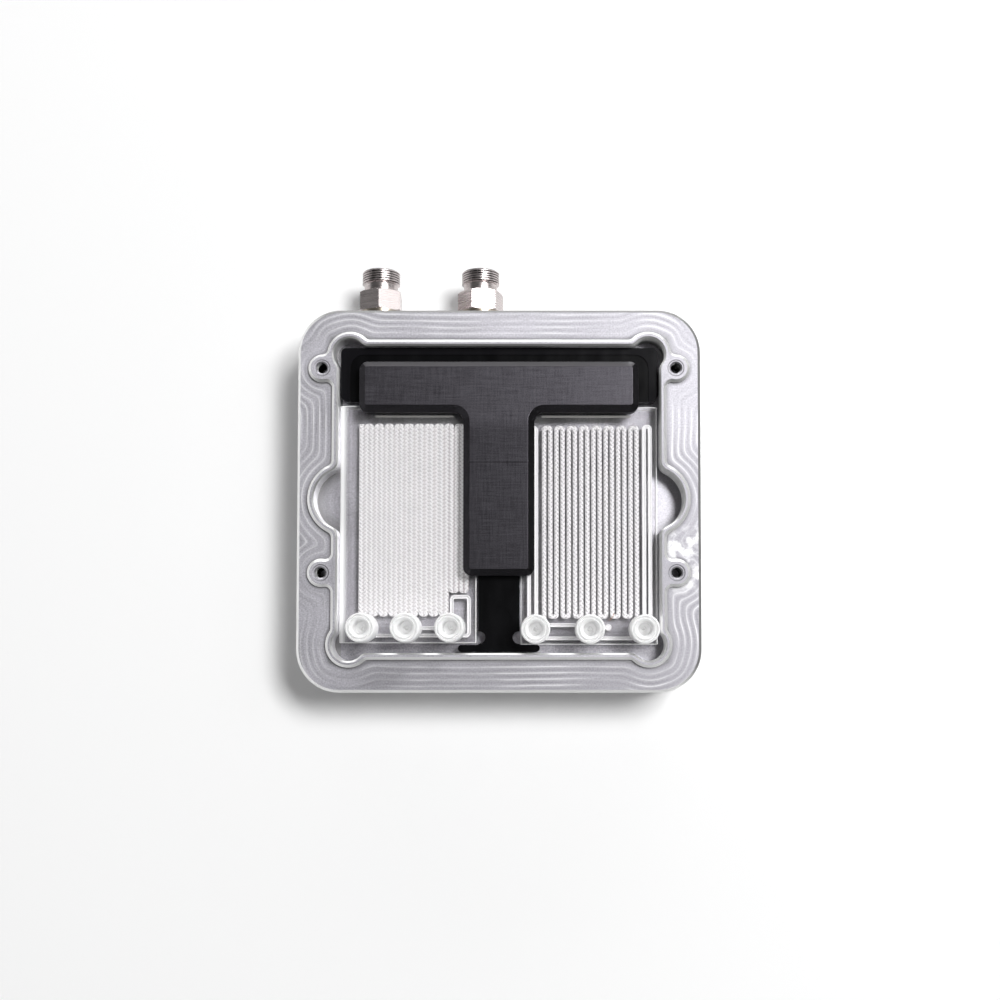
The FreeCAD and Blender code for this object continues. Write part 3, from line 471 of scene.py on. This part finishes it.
def black_plastic():
    """Glossy black of the locator, with a painted highlight: a slightly lighter border round the
    recess of its head.
    """
    net = Net("locator_black", Roughness=0.22, IOR=1.28)
    _, y, z = net.split(net.place)
    grain = net.noise(2200, 2)
    smear = net.noise(160, 3, stretch=(1, 0.3, 1))
    colour = net.blend(smear, (0.001, 0.001, 0.0012), (0.004, 0.004, 0.0048))
    # painted highlight: a lighter border round the recess of the head
    border_highlight = net.times(net.above(z, (CHIP_TOP - 0.4) * MM), net.above(y, 34 * MM))
    net.set("Base Color", net.blend(net.times(border_highlight, 0.8), colour, (0.006, 0.0057, 0.0072)))
    net.set("Roughness", net.span(smear, 0.3, 0.7, 0.18, 0.27))
    net.bump(grain, 0.01 * MM, 0.3)
    return net.material


def rubber():
    net = Net("seal_rubber", Roughness=0.7)
    grain = net.noise(900, 3)
    net.set("Base Color", net.blend(grain, (0.02, 0.02, 0.02), (0.05, 0.05, 0.05)))
    net.bump(grain, 0.03 * MM, 0.5)
    return net.material


def grained(name, dark, light, rough):
    net = Net(name, Roughness=rough, Metallic=0.0)
    grain = net.noise(300.0, 3)
    net.set("Base Color", net.blend(grain, dark, light))
    net.bump(grain, 0.02 * MM, 0.4)
    return net.material


# ---------------------------------------------------------------------------------------------
# Glass
# ---------------------------------------------------------------------------------------------
def ground_edges(net, chip, painted_left_band, lean):
    """How white a chip's ground bevel is, and how white its edge line and left band are, both painted
    highlights.
    """
    bevel = net.times(net.near(net.unsigned(lean[2]), 0.6, 0.3), 0.85)
    low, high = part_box(chip)
    x, y, _ = net.split(net.place)
    inset = [net.minus(net.unsigned(net.minus(along, (start + stop) / 2)),
                       (stop - start) / 2 - 0.42 * MM)
             for along, start, stop in ((x, low[0], high[0]), (y, low[1], high[1]))]
    # painted highlight: a white line just inside the top edges and a white band along the left edge
    line = net.times(net.above(net.larger(*inset), 0.0), 0.62)
    painted_band = net.span(x, low[0] + 1.3 * MM, low[0] + 3.4 * MM, painted_left_band, 0.0)
    return bevel, net.times(net.larger(line, painted_band), net.above(lean[2], 0.5))


def chip_glass(chip, painted_left_band):
    """Clear slab: see-through, mirror part by Fresnel on its outer skin, white ground edges, and a
    painted highlight line and band along its edges.
    """
    net = Net(chip + "_glass")
    net.tree.nodes.remove(net.shader)
    clear = net.node("ShaderNodeBsdfTransparent")
    clear.inputs[0].default_value = (0.996, 0.992, 0.997, 1)
    gloss = net.node("ShaderNodeBsdfGlossy")
    gloss.inputs["Roughness"].default_value = 0.06
    fresnel = net.node("ShaderNodeFresnel")
    fresnel.inputs["IOR"].default_value = 1.47
    ground = net.node("ShaderNodeBsdfDiffuse")
    ground.inputs[0].default_value = (0.95, 0.95, 0.95, 1)
    skin = net.surface()
    outside = net.minus(1.0, skin["Backfacing"])
    mirror = net.times(fresnel.outputs[0], outside)
    mixed = net.blend_shaders(mirror, clear.outputs[0], gloss.outputs[0])
    bevel, line = ground_edges(net, chip, painted_left_band, net.split(skin["Normal"]))
    haze = net.times(net.span(net.noise(90, 3), 0.35, 0.75, 0.04, 0.10), outside)
    white = net.larger(net.larger(bevel, haze), line)
    edged = net.blend_shaders(white, mixed, ground.outputs[0])
    net.feed(net.output.inputs["Surface"], edged)
    return net.material


def etched(name, dark, light, seams_and_glow=False):
    """Ground channel, painted darker as shade where it lies deeper; seams between columns darken
    beside the stem, and a painted glow lights the columns beside the stem.
    """
    net = Net(name, Roughness=0.45)
    x, y, z = net.split(net.place)
    grain = net.noise(2400, 3)
    # painted shade: the lower parts of the channel are darker
    level = net.span(z, (RIBBON_ROOF - 0.51) * MM, (RIBBON_ROOF - 0.08) * MM)
    level = net.math("ADD", level, net.times(net.minus(grain, 0.5), 0.25), clamp=True)
    colour = net.blend(level, dark, light)
    if seams_and_glow:
        first_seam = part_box("chip_left")[0][0] + (FINE_FIRST - FINE_PITCH / 2) * MM
        column = net.math("FRACT", net.math("DIVIDE", net.minus(x, first_seam), FINE_PITCH * MM))
        seam = net.span(net.unsigned(net.minus(column, 0.5)), 0.30, 0.46)
        seam = net.times(seam, net.span(x, -25 * MM, -14 * MM, 0.24, 0.85))
        colour = net.blend(seam, colour, (0.30, 0.23, 0.25))
        # painted light: the columns beside the clamp stem glow, lifting the stem's shadow
        glow = net.times(net.span(x, -20 * MM, -15.5 * MM, 0.0, 0.30), level)
        net.set("Emission Color", (1.0, 1.0, 1.0, 1.0))
        net.set("Emission Strength", net.times(glow, net.span(y, -35 * MM, -30 * MM)))
    net.set("Base Color", colour)
    net.bump(grain, 0.06 * MM, 0.6)
    return net.material


def frosted_glass():
    """Ground glass: scatters the light that enters it and lets about half of each lamp through."""
    net = Net("port_glass", Roughness=0.35, Subsurface_Weight=0.8, Subsurface_Radius=(1.0, 1.0, 1.0),
              Subsurface_Scale=2.5 * MM)
    grain = net.noise(1600, 3)
    net.set("Base Color", net.blend(grain, (0.87, 0.87, 0.87), (0.94, 0.94, 0.94)))
    net.bump(grain, 0.03 * MM, 0.4)
    clear = net.node("ShaderNodeBsdfTransparent")
    lamp = net.node("ShaderNodeLightPath").outputs["Is Shadow Ray"]
    mixed = net.blend_shaders(net.times(lamp, 0.55), net.shader.outputs[0], clear.outputs[0])
    net.feed(net.output.inputs["Surface"], mixed)
    return net.material


ALUMINIUM = milled_aluminium()
STAINLESS = turned_steel("stainless", (0.54, 0.49, 0.485), 0.27, groove_shade=True)
SCREW_STEEL = turned_steel("screw_steel", (0.50, 0.50, 0.51), 0.30)
BRONZE = turned_steel("bronze_seal", (0.40, 0.35, 0.29), 0.35)
ANODISED = black_anodised()
LOCATOR = black_plastic()
RUBBER = rubber()
GLASS_LEFT = chip_glass("chip_left", 0.8)
GLASS_RIGHT = chip_glass("chip_right", 0.0)
FROSTED = frosted_glass()
FINE = etched("fine_channels", (0.46, 0.45, 0.455), (0.91, 0.905, 0.905), seams_and_glow=True)
COARSE = etched("coarse_channels", (0.49, 0.48, 0.487), (0.955, 0.945, 0.952))
SMOOTH = etched("plain_channels", (0.74, 0.74, 0.74), (0.97, 0.97, 0.97))
PAD = grained("clear_pad", (0.36, 0.35, 0.34), (0.46, 0.45, 0.44), 0.35)
FIBRE = grained("fibre", (0.50, 0.24, 0.14), (0.62, 0.33, 0.20), 0.6)

NODE_LOOKS = {"base_block": ALUMINIUM, "closure_plate": ALUMINIUM, "coolant_gasket": RUBBER,
              "chip_left": GLASS_LEFT, "chip_right": GLASS_RIGHT, "chip_locator": LOCATOR}
for name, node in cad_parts.items():
    look = NODE_LOOKS.get(name)
    if name.startswith(("plate_screw", "clamp_screw")):
        look = SCREW_STEEL
    if name.startswith("fitting_seal"):
        look = BRONZE
    if look is not None:
        for place in node.material_slots:
            place.material = look


# ---------------------------------------------------------------------------------------------
# Mesh makers
# ---------------------------------------------------------------------------------------------
def add_piece(name, mesh, material, replaces=None, sharp=35):
    mesh.materials.append(material)
    for face in mesh.polygons:
        face.use_smooth = True
    mesh.set_sharp_from_angle(angle=math.radians(sharp))
    piece = bpy.data.objects.new(name, mesh)
    bpy.context.scene.collection.objects.link(piece)
    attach(piece, "root")
    if replaces:
        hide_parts(replaces)
    return piece


def mesh_of(name, points, faces):
    mesh = bpy.data.meshes.new(name)
    mesh.from_pydata([tuple(p) for p in points], [], faces)
    work = bmesh.new()
    work.from_mesh(mesh)
    bmesh.ops.recalc_face_normals(work, faces=work.faces)
    work.to_mesh(mesh)
    work.free()
    mesh.update()
    return mesh


def rings(name, radius_at, heights, turn, count=96, wrap=False):
    """Rings of points about the axis of `turn`; radius_at(row, angle) gives each radius."""
    points, faces = [], []
    for row, height in enumerate(heights):
        for step in range(count):
            angle = 2 * math.pi * step / count
            radius = radius_at(row, angle)
            points.append(turn @ Vector((radius * math.cos(angle), radius * math.sin(angle), height)))
    rows = len(heights)
    for row in range(rows if wrap else rows - 1):
        for step in range(count):
            a, b = row * count + step, row * count + (step + 1) % count
            c, d = ((row + 1) % rows) * count + (step + 1) % count, ((row + 1) % rows) * count + step
            faces.append((a, b, c, d))
    return mesh_of(name, points, faces)


def lathe(name, profile, turn, count=96):
    """A closed ring-shaped solid from a loop of (radius, height) pairs in millimetres."""
    return rings(name, lambda row, angle: profile[row][0] * MM, [h * MM for _, h in profile], turn,
                 count=count, wrap=True)


# ---------------------------------------------------------------------------------------------
# Coolant fittings: hexagon with turned corners, undercut neck, cut thread and open bore
# ---------------------------------------------------------------------------------------------
def hexagon(side, turn):
    """Six flats whose corners are turned off at both ends; its columns of points meet the corners."""
    corner = math.radians(60)
    heights = [WASHER, WASHER + 0.05, WASHER + 0.25, WASHER + 0.48,
               HEX_END - 0.48, HEX_END - 0.25, HEX_END - 0.05, HEX_END]

    def radius_at(row, angle):
        if row in (0, len(heights) - 1):
            return 7.4 * MM
        off = (angle + corner / 2) % corner - corner / 2
        flat = HEX_FLATS / 2 / math.cos(off)
        depth = min(heights[row] - WASHER, HEX_END - heights[row])
        return min(flat, 9.0 + depth * 1.7) * MM

    return rings("hexagon_" + side, radius_at, [h * MM for h in heights], turn, count=288)


def thread(side, turn):
    """A cut thread with a lead-in at both ends."""
    rows = 88
    spots = [THREAD_START + (THREAD_END - THREAD_START) * step / (rows - 1) for step in range(rows)]

    def radius_at(row, angle):
        place = spots[row]
        saw = abs(((place / THREAD_PITCH - angle / (2 * math.pi)) % 1.0) * 2 - 1)
        cut = THREAD_ROOT + (THREAD_CREST - THREAD_ROOT) * min(1.0, saw * 2.2)
        lead = min((place - THREAD_START) * 1.6, (THREAD_END - place) * 1.3)
        return min(cut, 7.0 + lead + 0.25 if lead < 0.75 else cut) * MM

    return rings("thread_" + side, radius_at, [h * MM for h in spots], turn, count=120)


def fitting_body(side, turn):
    """Shank, collar, neck, thread core, hose seat and bore, in one closed outline."""
    outline = [(6.0, -9.5), (6.0, WASHER), (7.3, WASHER + 0.02), (7.3, HEX_END - 0.02),
               (7.45, HEX_END), (7.45, HEX_END + 0.25), (7.1, HEX_END + 0.6), (7.1, HEX_END + 2.6),
               (7.25, THREAD_START), (7.0, HEX_END + 3.4), (7.0, THREAD_END - 0.02),
               (6.5, THREAD_END), (6.2, THREAD_END), (4.5, THREAD_END - 3.0), (4.5, -9.5)]
    return lathe("core_" + side, outline, turn)


def fitting(side, x, hex_turn):
    node = "coolant_fitting_" + side
    turn = Matrix.Translation((x * MM, BLOCK_BACK * MM, FITTING_HEIGHT * MM))
    turn = turn @ Matrix.Rotation(-math.pi / 2, 4, "X")
    turned = turn @ Matrix.Rotation(math.radians(hex_turn - 90), 4, "Z")
    add_piece("fitting_hexagon_" + side, hexagon(side, turned), STAINLESS, node, sharp=2)
    add_piece("fitting_thread_" + side, thread(side, turn), STAINLESS, node, sharp=50)
    add_piece("fitting_core_" + side, fitting_body(side, turn), STAINLESS, node)


for side, (x, hex_turn) in FITTINGS.items():
    fitting(side, x, hex_turn)


# ---------------------------------------------------------------------------------------------
# Clamp bar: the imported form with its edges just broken
# ---------------------------------------------------------------------------------------------
def clamp_bar(edge_width):
    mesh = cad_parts["clamp_bar"].data.copy()
    mesh.materials.clear()
    if "custom_normal" in mesh.attributes:
        mesh.attributes.remove(mesh.attributes["custom_normal"])
    work = bmesh.new()
    work.from_mesh(mesh)
    bmesh.ops.remove_doubles(work, verts=work.verts, dist=1e-6)
    bmesh.ops.dissolve_limit(work, angle_limit=math.radians(1.0), verts=work.verts, edges=work.edges)
    work.to_mesh(mesh)
    work.free()
    piece = add_piece("clamp_bar_dressed", mesh, ANODISED, "clamp_bar", sharp=25)
    bevel = piece.modifiers.new("edges", "BEVEL")
    bevel.width = edge_width * MM
    bevel.segments = 2
    bevel.limit_method = "ANGLE"
    bevel.angle_limit = math.radians(30)
    bevel.harden_normals = True


clamp_bar(0.22)


# ---------------------------------------------------------------------------------------------
# Ports: ground glass cups with a ring groove and a threaded socket
# ---------------------------------------------------------------------------------------------
def port(side, number):
    node = "port_%s_%d" % (side, number)
    low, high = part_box(node)
    centre = [(low[axis] + high[axis]) / 2 for axis in (0, 1)]
    turn = Matrix.Translation((centre[0], centre[1], low[2]))
    outside = [(0.02, 0), (5.7, 0), (6.0, 0.3), (6.0, 12.7), (5.8, 13.2), (5.55, 13.42),
               (5.35, 13.5), (5.22, 13.45)]
    groove = [(5.12, 12.9), (5.0, 11.9), (4.5, 11.9), (4.4, 12.9), (4.3, 13.4), (4.2, 13.48)]
    mouth = [(4.05, 13.45), (2.85, 12.15), (2.8, 12.0)]
    socket = []
    level = 11.6
    while level > 5.2:
        socket += [(2.8, level), (2.88, level - 0.25), (2.88, level - 0.45), (2.8, level - 0.7)]
        level -= 0.9
    nub = [(2.8, 4.7), (2.6, 4.5), (1.3, 4.5), (1.1, 4.3), (0.75, 4.3), (0.6, 4.9), (0.3, 5.1),
           (0.02, 5.1)]
    cup = lathe(node + "_cup", outside + groove + mouth + socket + nub, turn)
    add_piece(node + "_cup", cup, FROSTED, node, sharp=40)


for side in ("left", "right"):
    for number in (1, 2, 3):
        port(side, number)


# ---------------------------------------------------------------------------------------------
# Channels: ground ribbons that lie in the chips' hollows
# ---------------------------------------------------------------------------------------------
def rounded_path(corners, radius, step):
    """Evenly spaced points along straight lines with rounded corners, in millimetres."""
    corners = [Vector((x, y)) for x, y in corners]
    line = [corners[0]]
    for before, here, after in zip(corners, corners[1:], corners[2:]):
        inward, onward = (here - before), (after - here)
        reach = min(radius, inward.length / 2, onward.length / 2)
        start, stop = here - inward.normalized() * reach, here + onward.normalized() * reach
        for share in range(9):
            t = share / 8
            line.append(start.lerp(here, t).lerp(here.lerp(stop, t), t))
    line.append(corners[-1])
    spots, to_next = [line[0]], step
    for a, b in zip(line, line[1:]):
        length = (b - a).length
        done = to_next
        while done <= length and length > 0:
            spots.append(a.lerp(b, done / length))
            done += step
        to_next = done - length
    return spots


def ribbon(name, corners, width, relief, material, step=0.25, radius=0.6):
    """A channel's ground surface along a path; relief(s, t) lowers it, s across and t along.

    The radius of its bends is a share of its width.
    """
    lanes = 8
    spots = rounded_path(corners, radius * width, step)
    points, faces = [], []
    for index, spot in enumerate(spots):
        ahead = spots[min(index + 1, len(spots) - 1)] - spots[max(index - 1, 0)]
        side = Vector((-ahead.y, ahead.x)).normalized()
        row = [(-1.0, RIBBON_FLOOR)]
        for lane in range(lanes + 1):
            s = 2 * lane / lanes - 1
            row.append((s * 0.98, RIBBON_ROOF - relief(s, index * step)))
        row.append((1.0, RIBBON_FLOOR))
        for s, height in row:
            where = spot + side * (s * width / 2)
            points.append((where.x * MM, where.y * MM, height * MM))
    count = lanes + 3
    for index in range(len(spots) - 1):
        for lane in range(count):
            other = (lane + 1) % count
            a, b = index * count + lane, index * count + other
            faces.append((a, b, b + count, a + count))
    last = (len(spots) - 1) * count
    faces.append(tuple(range(count)))
    faces.append(tuple(last + lane for lane in range(count))[::-1])
    add_piece(name, mesh_of(name, points, faces), material, sharp=60)


def knit(pitch, depth, edge):
    """Short slanted ticks in two staggered rows, with the edges rolled down."""
    def relief(s, t):
        half = 0.5 if s > 0 else 0.0
        off = (t / pitch + half + 0.55 * abs(s)) % 1.0 - 0.5
        tick = math.exp(-(off / 0.18) ** 2 - ((abs(s) - 0.5) / 0.34) ** 2)
        return depth * tick + edge * abs(s) ** 4
    return relief


def trough(depth):
    """A smooth hollow along the middle, with the edges rolled down."""
    def relief(s, t):
        return depth * math.exp(-(s / 0.45) ** 2) + 0.10 * abs(s) ** 6
    return relief


def channels_left():
    """Fine serpentine, the loop at the inner front corner, and the links between the ports."""
    low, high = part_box("chip_left")
    left, front = low[0] / MM, low[1] / MM
    right, back = high[0] / MM, high[1] / MM
    half_width = FINE_WIDTH / 2
    first = left + FINE_FIRST
    far = back - BACK_MARGIN - half_width
    near = front + FINE_FRONT + half_width
    short = front + FINE_SHORT_FRONT + half_width
    path = [(first, far + half_width)]
    for leg in range(FINE_LEGS):
        x = first + leg * FINE_PITCH
        front_end = short if leg >= FINE_LEGS - FINE_SHORT_LEGS else near
        ends = [far, front_end] if leg % 2 == 0 else [front_end, far]
        path += [(x, end) for end in ends]
    path = [path[0]] + path[2:]
    ribbon("channels_fine", path, FINE_WIDTH * 1.28, knit(1.6, 0.5, 0.12), FINE, step=0.21,
           radius=0.28)

    row = front + PORT_INSET
    middle = (low[0] + high[0]) / 2 / MM
    ports = [middle - FINE_PORT_PITCH, middle, middle + FINE_PORT_PITCH]
    loop_front = row - LOOP_DROP
    loop_back = front + LOOP_BACK
    loop_side = right - LOOP_MARGIN
    outlet = first + FINE_OUTLET_LEG * FINE_PITCH
    ribbon("channel_loop", [(ports[0], near), (ports[0], loop_front), (loop_side, loop_front),
                            (loop_side, loop_back), (ports[2], loop_back), (ports[2], row)],
           PLAIN_WIDTH, trough(0.45), SMOOTH, radius=0.9)
    ribbon("channel_link_left", [(ports[1], row), (ports[2], row)], PLAIN_WIDTH, trough(0.45), SMOOTH)
    ribbon("channel_outlet_left", [(outlet, near), (outlet, row + 0.4)], PLAIN_WIDTH,
           trough(0.45), SMOOTH)


def channels_right():
    """Wide serpentine, the feed and return beside it, the links and the filled chamber."""
    low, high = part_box("chip_right")
    left, front = low[0] / MM, low[1] / MM
    right, back = high[0] / MM, high[1] / MM
    first = left + COARSE_FIRST
    far = back - BACK_MARGIN - COARSE_WIDTH / 2
    near = front + COARSE_FRONT + COARSE_WIDTH / 2
    row = front + PORT_INSET
    middle = (low[0] + high[0]) / 2 / MM
    outer_port = middle - COARSE_PORT_PITCH
    upper = row + FEED_RISE
    lower = row - RETURN_DROP
    path = [(first, upper)]
    for leg in range(COARSE_LEGS):
        x = first + leg * COARSE_PITCH
        ends = [near, far] if leg % 2 == 0 else [far, near]
        path += [(x, end) for end in ends]
    path = [path[0]] + path[2:-1] + [(first + (COARSE_LEGS - 1) * COARSE_PITCH, row)]
    ribbon("channels_coarse", path, COARSE_WIDTH * 1.05, knit(1.8, 0.55, 0.34), COARSE, step=0.2,
           radius=0.42)

    feed = left + FEED_MARGIN
    inner_feed = feed + FEED_PITCH
    drain = right - RETURN_MARGIN
    inner_drain = drain - RETURN_PITCH
    feed_arch = back - BACK_MARGIN - PLAIN_WIDTH / 2
    drain_arch = back - BACK_MARGIN - 0.5
    ribbon("channel_feed", [(feed, lower), (feed, feed_arch), (inner_feed, feed_arch),
                            (inner_feed, row)], PLAIN_WIDTH, trough(0.16), SMOOTH, radius=1.0)
    ribbon("channel_return", [(drain, lower), (drain, drain_arch), (inner_drain, drain_arch),
                              (inner_drain, row)], RETURN_WIDTH, trough(0.16), SMOOTH, radius=0.8)
    ribbon("channel_lower", [(feed, lower), (drain, lower)], PLAIN_WIDTH, trough(0.45), SMOOTH)
    ribbon("channel_upper", [(outer_port, upper), (middle, upper)], PLAIN_WIDTH, trough(0.45), SMOOTH)

    chamber_x = middle + CHAMBER_OFFSET
    chamber_y = row + CHAMBER_RISE
    ribbon("channel_chamber", [(middle, chamber_y), (chamber_x, chamber_y)], PLAIN_WIDTH,
           trough(0.3), SMOOTH)
    turn = Matrix.Translation((chamber_x * MM, chamber_y * MM, 0))
    profile = [(0.02, 23.4), (1.3, 23.4), (1.48, 23.7), (1.45, 24.1), (1.2, 24.38), (0.8, 24.3),
               (0.4, 24.42), (0.02, 24.35)]
    add_piece("channel_chamber_spot", lathe("chamber_spot", profile, turn, 40), COARSE)


channels_left()
channels_right()


# ---------------------------------------------------------------------------------------------
# Clear pad edges in front of the clamp head, and one loose fibre
# ---------------------------------------------------------------------------------------------
def pad_edge(name, low_x, high_x, y):
    """A low strip with round ends, lying on a chip."""
    half = 0.5
    outline = []
    for end, centre in ((1, high_x - half), (-1, low_x + half)):
        for step in range(9):
            angle = -math.pi / 2 + math.pi * step / 8
            outline.append((centre + end * half * math.cos(angle), y + end * half * math.sin(angle)))
    points, faces = [], []
    count = len(outline)
    for rise, inset in ((0.0, 0.0), (0.1, 0.02), (0.18, 0.12)):
        for x, v in outline:
            points.append((x * MM, (y + (v - y) * (1 - inset)) * MM, (CHIP_TOP + rise) * MM))
    for ring in range(2):
        for step in range(count):
            a, b = ring * count + step, ring * count + (step + 1) % count
            faces.append((a, b, b + count, a + count))
    faces += [tuple(range(count)), tuple(2 * count + step for step in range(count))]
    add_piece(name, mesh_of(name, points, faces), PAD)


def loose_fibre(route):
    curve = bpy.data.curves.new("fibre", "CURVE")
    curve.dimensions = "3D"
    curve.bevel_depth = 0.09 * MM
    spline = curve.splines.new("NURBS")
    spline.points.add(len(route) - 1)
    for point, (x, y, z) in zip(spline.points, route):
        point.co = (x * MM, y * MM, z * MM, 1.0)
    spline.order_u = 4
    spline.use_endpoint_u = True
    fibre = bpy.data.objects.new("fibre", curve)
    fibre.data.materials.append(FIBRE)
    bpy.context.scene.collection.objects.link(fibre)
    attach(fibre, "root")


pad_edge("pad_edge_left", -52.0, -18.8, 35.4)
pad_edge("pad_edge_right", 17.6, 55.0, 35.3)
loose_fibre([(46.0, -50.2, 26.62), (46.5, -49.5, 26.9), (47.2, -48.9, 26.7), (47.5, -48.2, 26.9),
             (47.9, -47.2, 26.62)])


# ---------------------------------------------------------------------------------------------
# Stage, light and camera, in metres
# ---------------------------------------------------------------------------------------------
def white_floor():
    """White floor that keeps the shadow; a little is added for the camera so it stays white."""
    net = Net("floor_white")
    net.tree.nodes.remove(net.shader)
    matte = net.node("ShaderNodeBsdfDiffuse")
    matte.inputs[0].default_value = (0.90, 0.90, 0.90, 1)
    glow = net.node("ShaderNodeEmission")
    glow.inputs[0].default_value = (1, 1, 1, 1)
    rays = net.node("ShaderNodeLightPath").outputs
    seen = net.larger(rays["Is Camera Ray"], rays["Is Transmission Ray"])
    seen = net.larger(seen, rays["Is Glossy Ray"])
    net.feed(glow.inputs[1], net.times(seen, 0.07))
    both = net.node("ShaderNodeAddShader")
    net.feed(both.inputs[0], matte.outputs[0])
    net.feed(both.inputs[1], glow.outputs[0])
    net.feed(net.output.inputs["Surface"], both.outputs[0])
    return net.material


half_floor = 3.0
floor_mesh = mesh_of("floor", [(-half_floor, -half_floor, 0), (half_floor, -half_floor, 0),
                               (half_floor, half_floor, 0), (-half_floor, half_floor, 0)],
                     [(0, 1, 2, 3)])
floor_mesh.materials.append(white_floor())
floor = bpy.data.objects.new("floor", floor_mesh)
floor.location.z = -0.0002
bpy.context.scene.collection.objects.link(floor)


def area_light(name, place, extent, power):
    """A rectangular lamp that points at the part."""
    lamp = bpy.data.lights.new(name, "AREA")
    lamp.shape = "RECTANGLE"
    lamp.size, lamp.size_y = extent
    lamp.energy = power
    made = bpy.data.objects.new(name, lamp)
    made.location = place
    made.rotation_euler = (-Vector(place)).to_track_quat("-Z", "Y").to_euler()
    bpy.context.scene.collection.objects.link(made)


def studio_world():
    """Bright near the horizon and dim overhead."""
    world = bpy.data.worlds.new("studio")
    bpy.context.scene.world = world
    world.use_nodes = True
    tree = world.node_tree
    ways = tree.nodes.new("ShaderNodeTexCoord")
    parts = tree.nodes.new("ShaderNodeSeparateXYZ")
    tree.links.new(ways.outputs["Generated"], parts.inputs[0])
    ramp = tree.nodes.new("ShaderNodeMapRange")
    ramp.interpolation_type = "SMOOTHSTEP"
    tree.links.new(parts.outputs["Z"], ramp.inputs["Value"])
    for socket, value in (("From Min", 0.04), ("From Max", 0.45), ("To Min", 0.95), ("To Max", 0.11)):
        ramp.inputs[socket].default_value = value
    background = tree.nodes["Background"]
    background.inputs[0].default_value = (1, 1, 1, 1)
    tree.links.new(ramp.outputs[0], background.inputs[1])


def overhead_camera():
    """Almost straight down, tilted a little and shifted to the photographed framing."""
    lens = bpy.data.cameras.new("camera")
    lens.sensor_width = 36.0
    lens.lens = 42.12
    lens.shift_x = -0.04
    lens.shift_y = 0.10
    lens.clip_end = 20
    camera = bpy.data.objects.new("camera", lens)
    camera.location = (0.01709, -0.06157, 0.5131)
    camera.rotation_euler = (math.atan(0.041), 0, 0)
    bpy.context.scene.collection.objects.link(camera)
    bpy.context.scene.camera = camera


area_light("softbox", (1.30, 0.82, 2.5), (1.30, 0.85), 85.0)
area_light("low_softbox", (2.11, 0.86, 1.84), (0.50, 0.95), 4.4)
area_light("back_strip", (0.0, 3.0, 0.55), (4.5, 0.7), 30.0)
studio_world()
overhead_camera()

bpy.context.scene.view_settings.view_transform = "Standard"
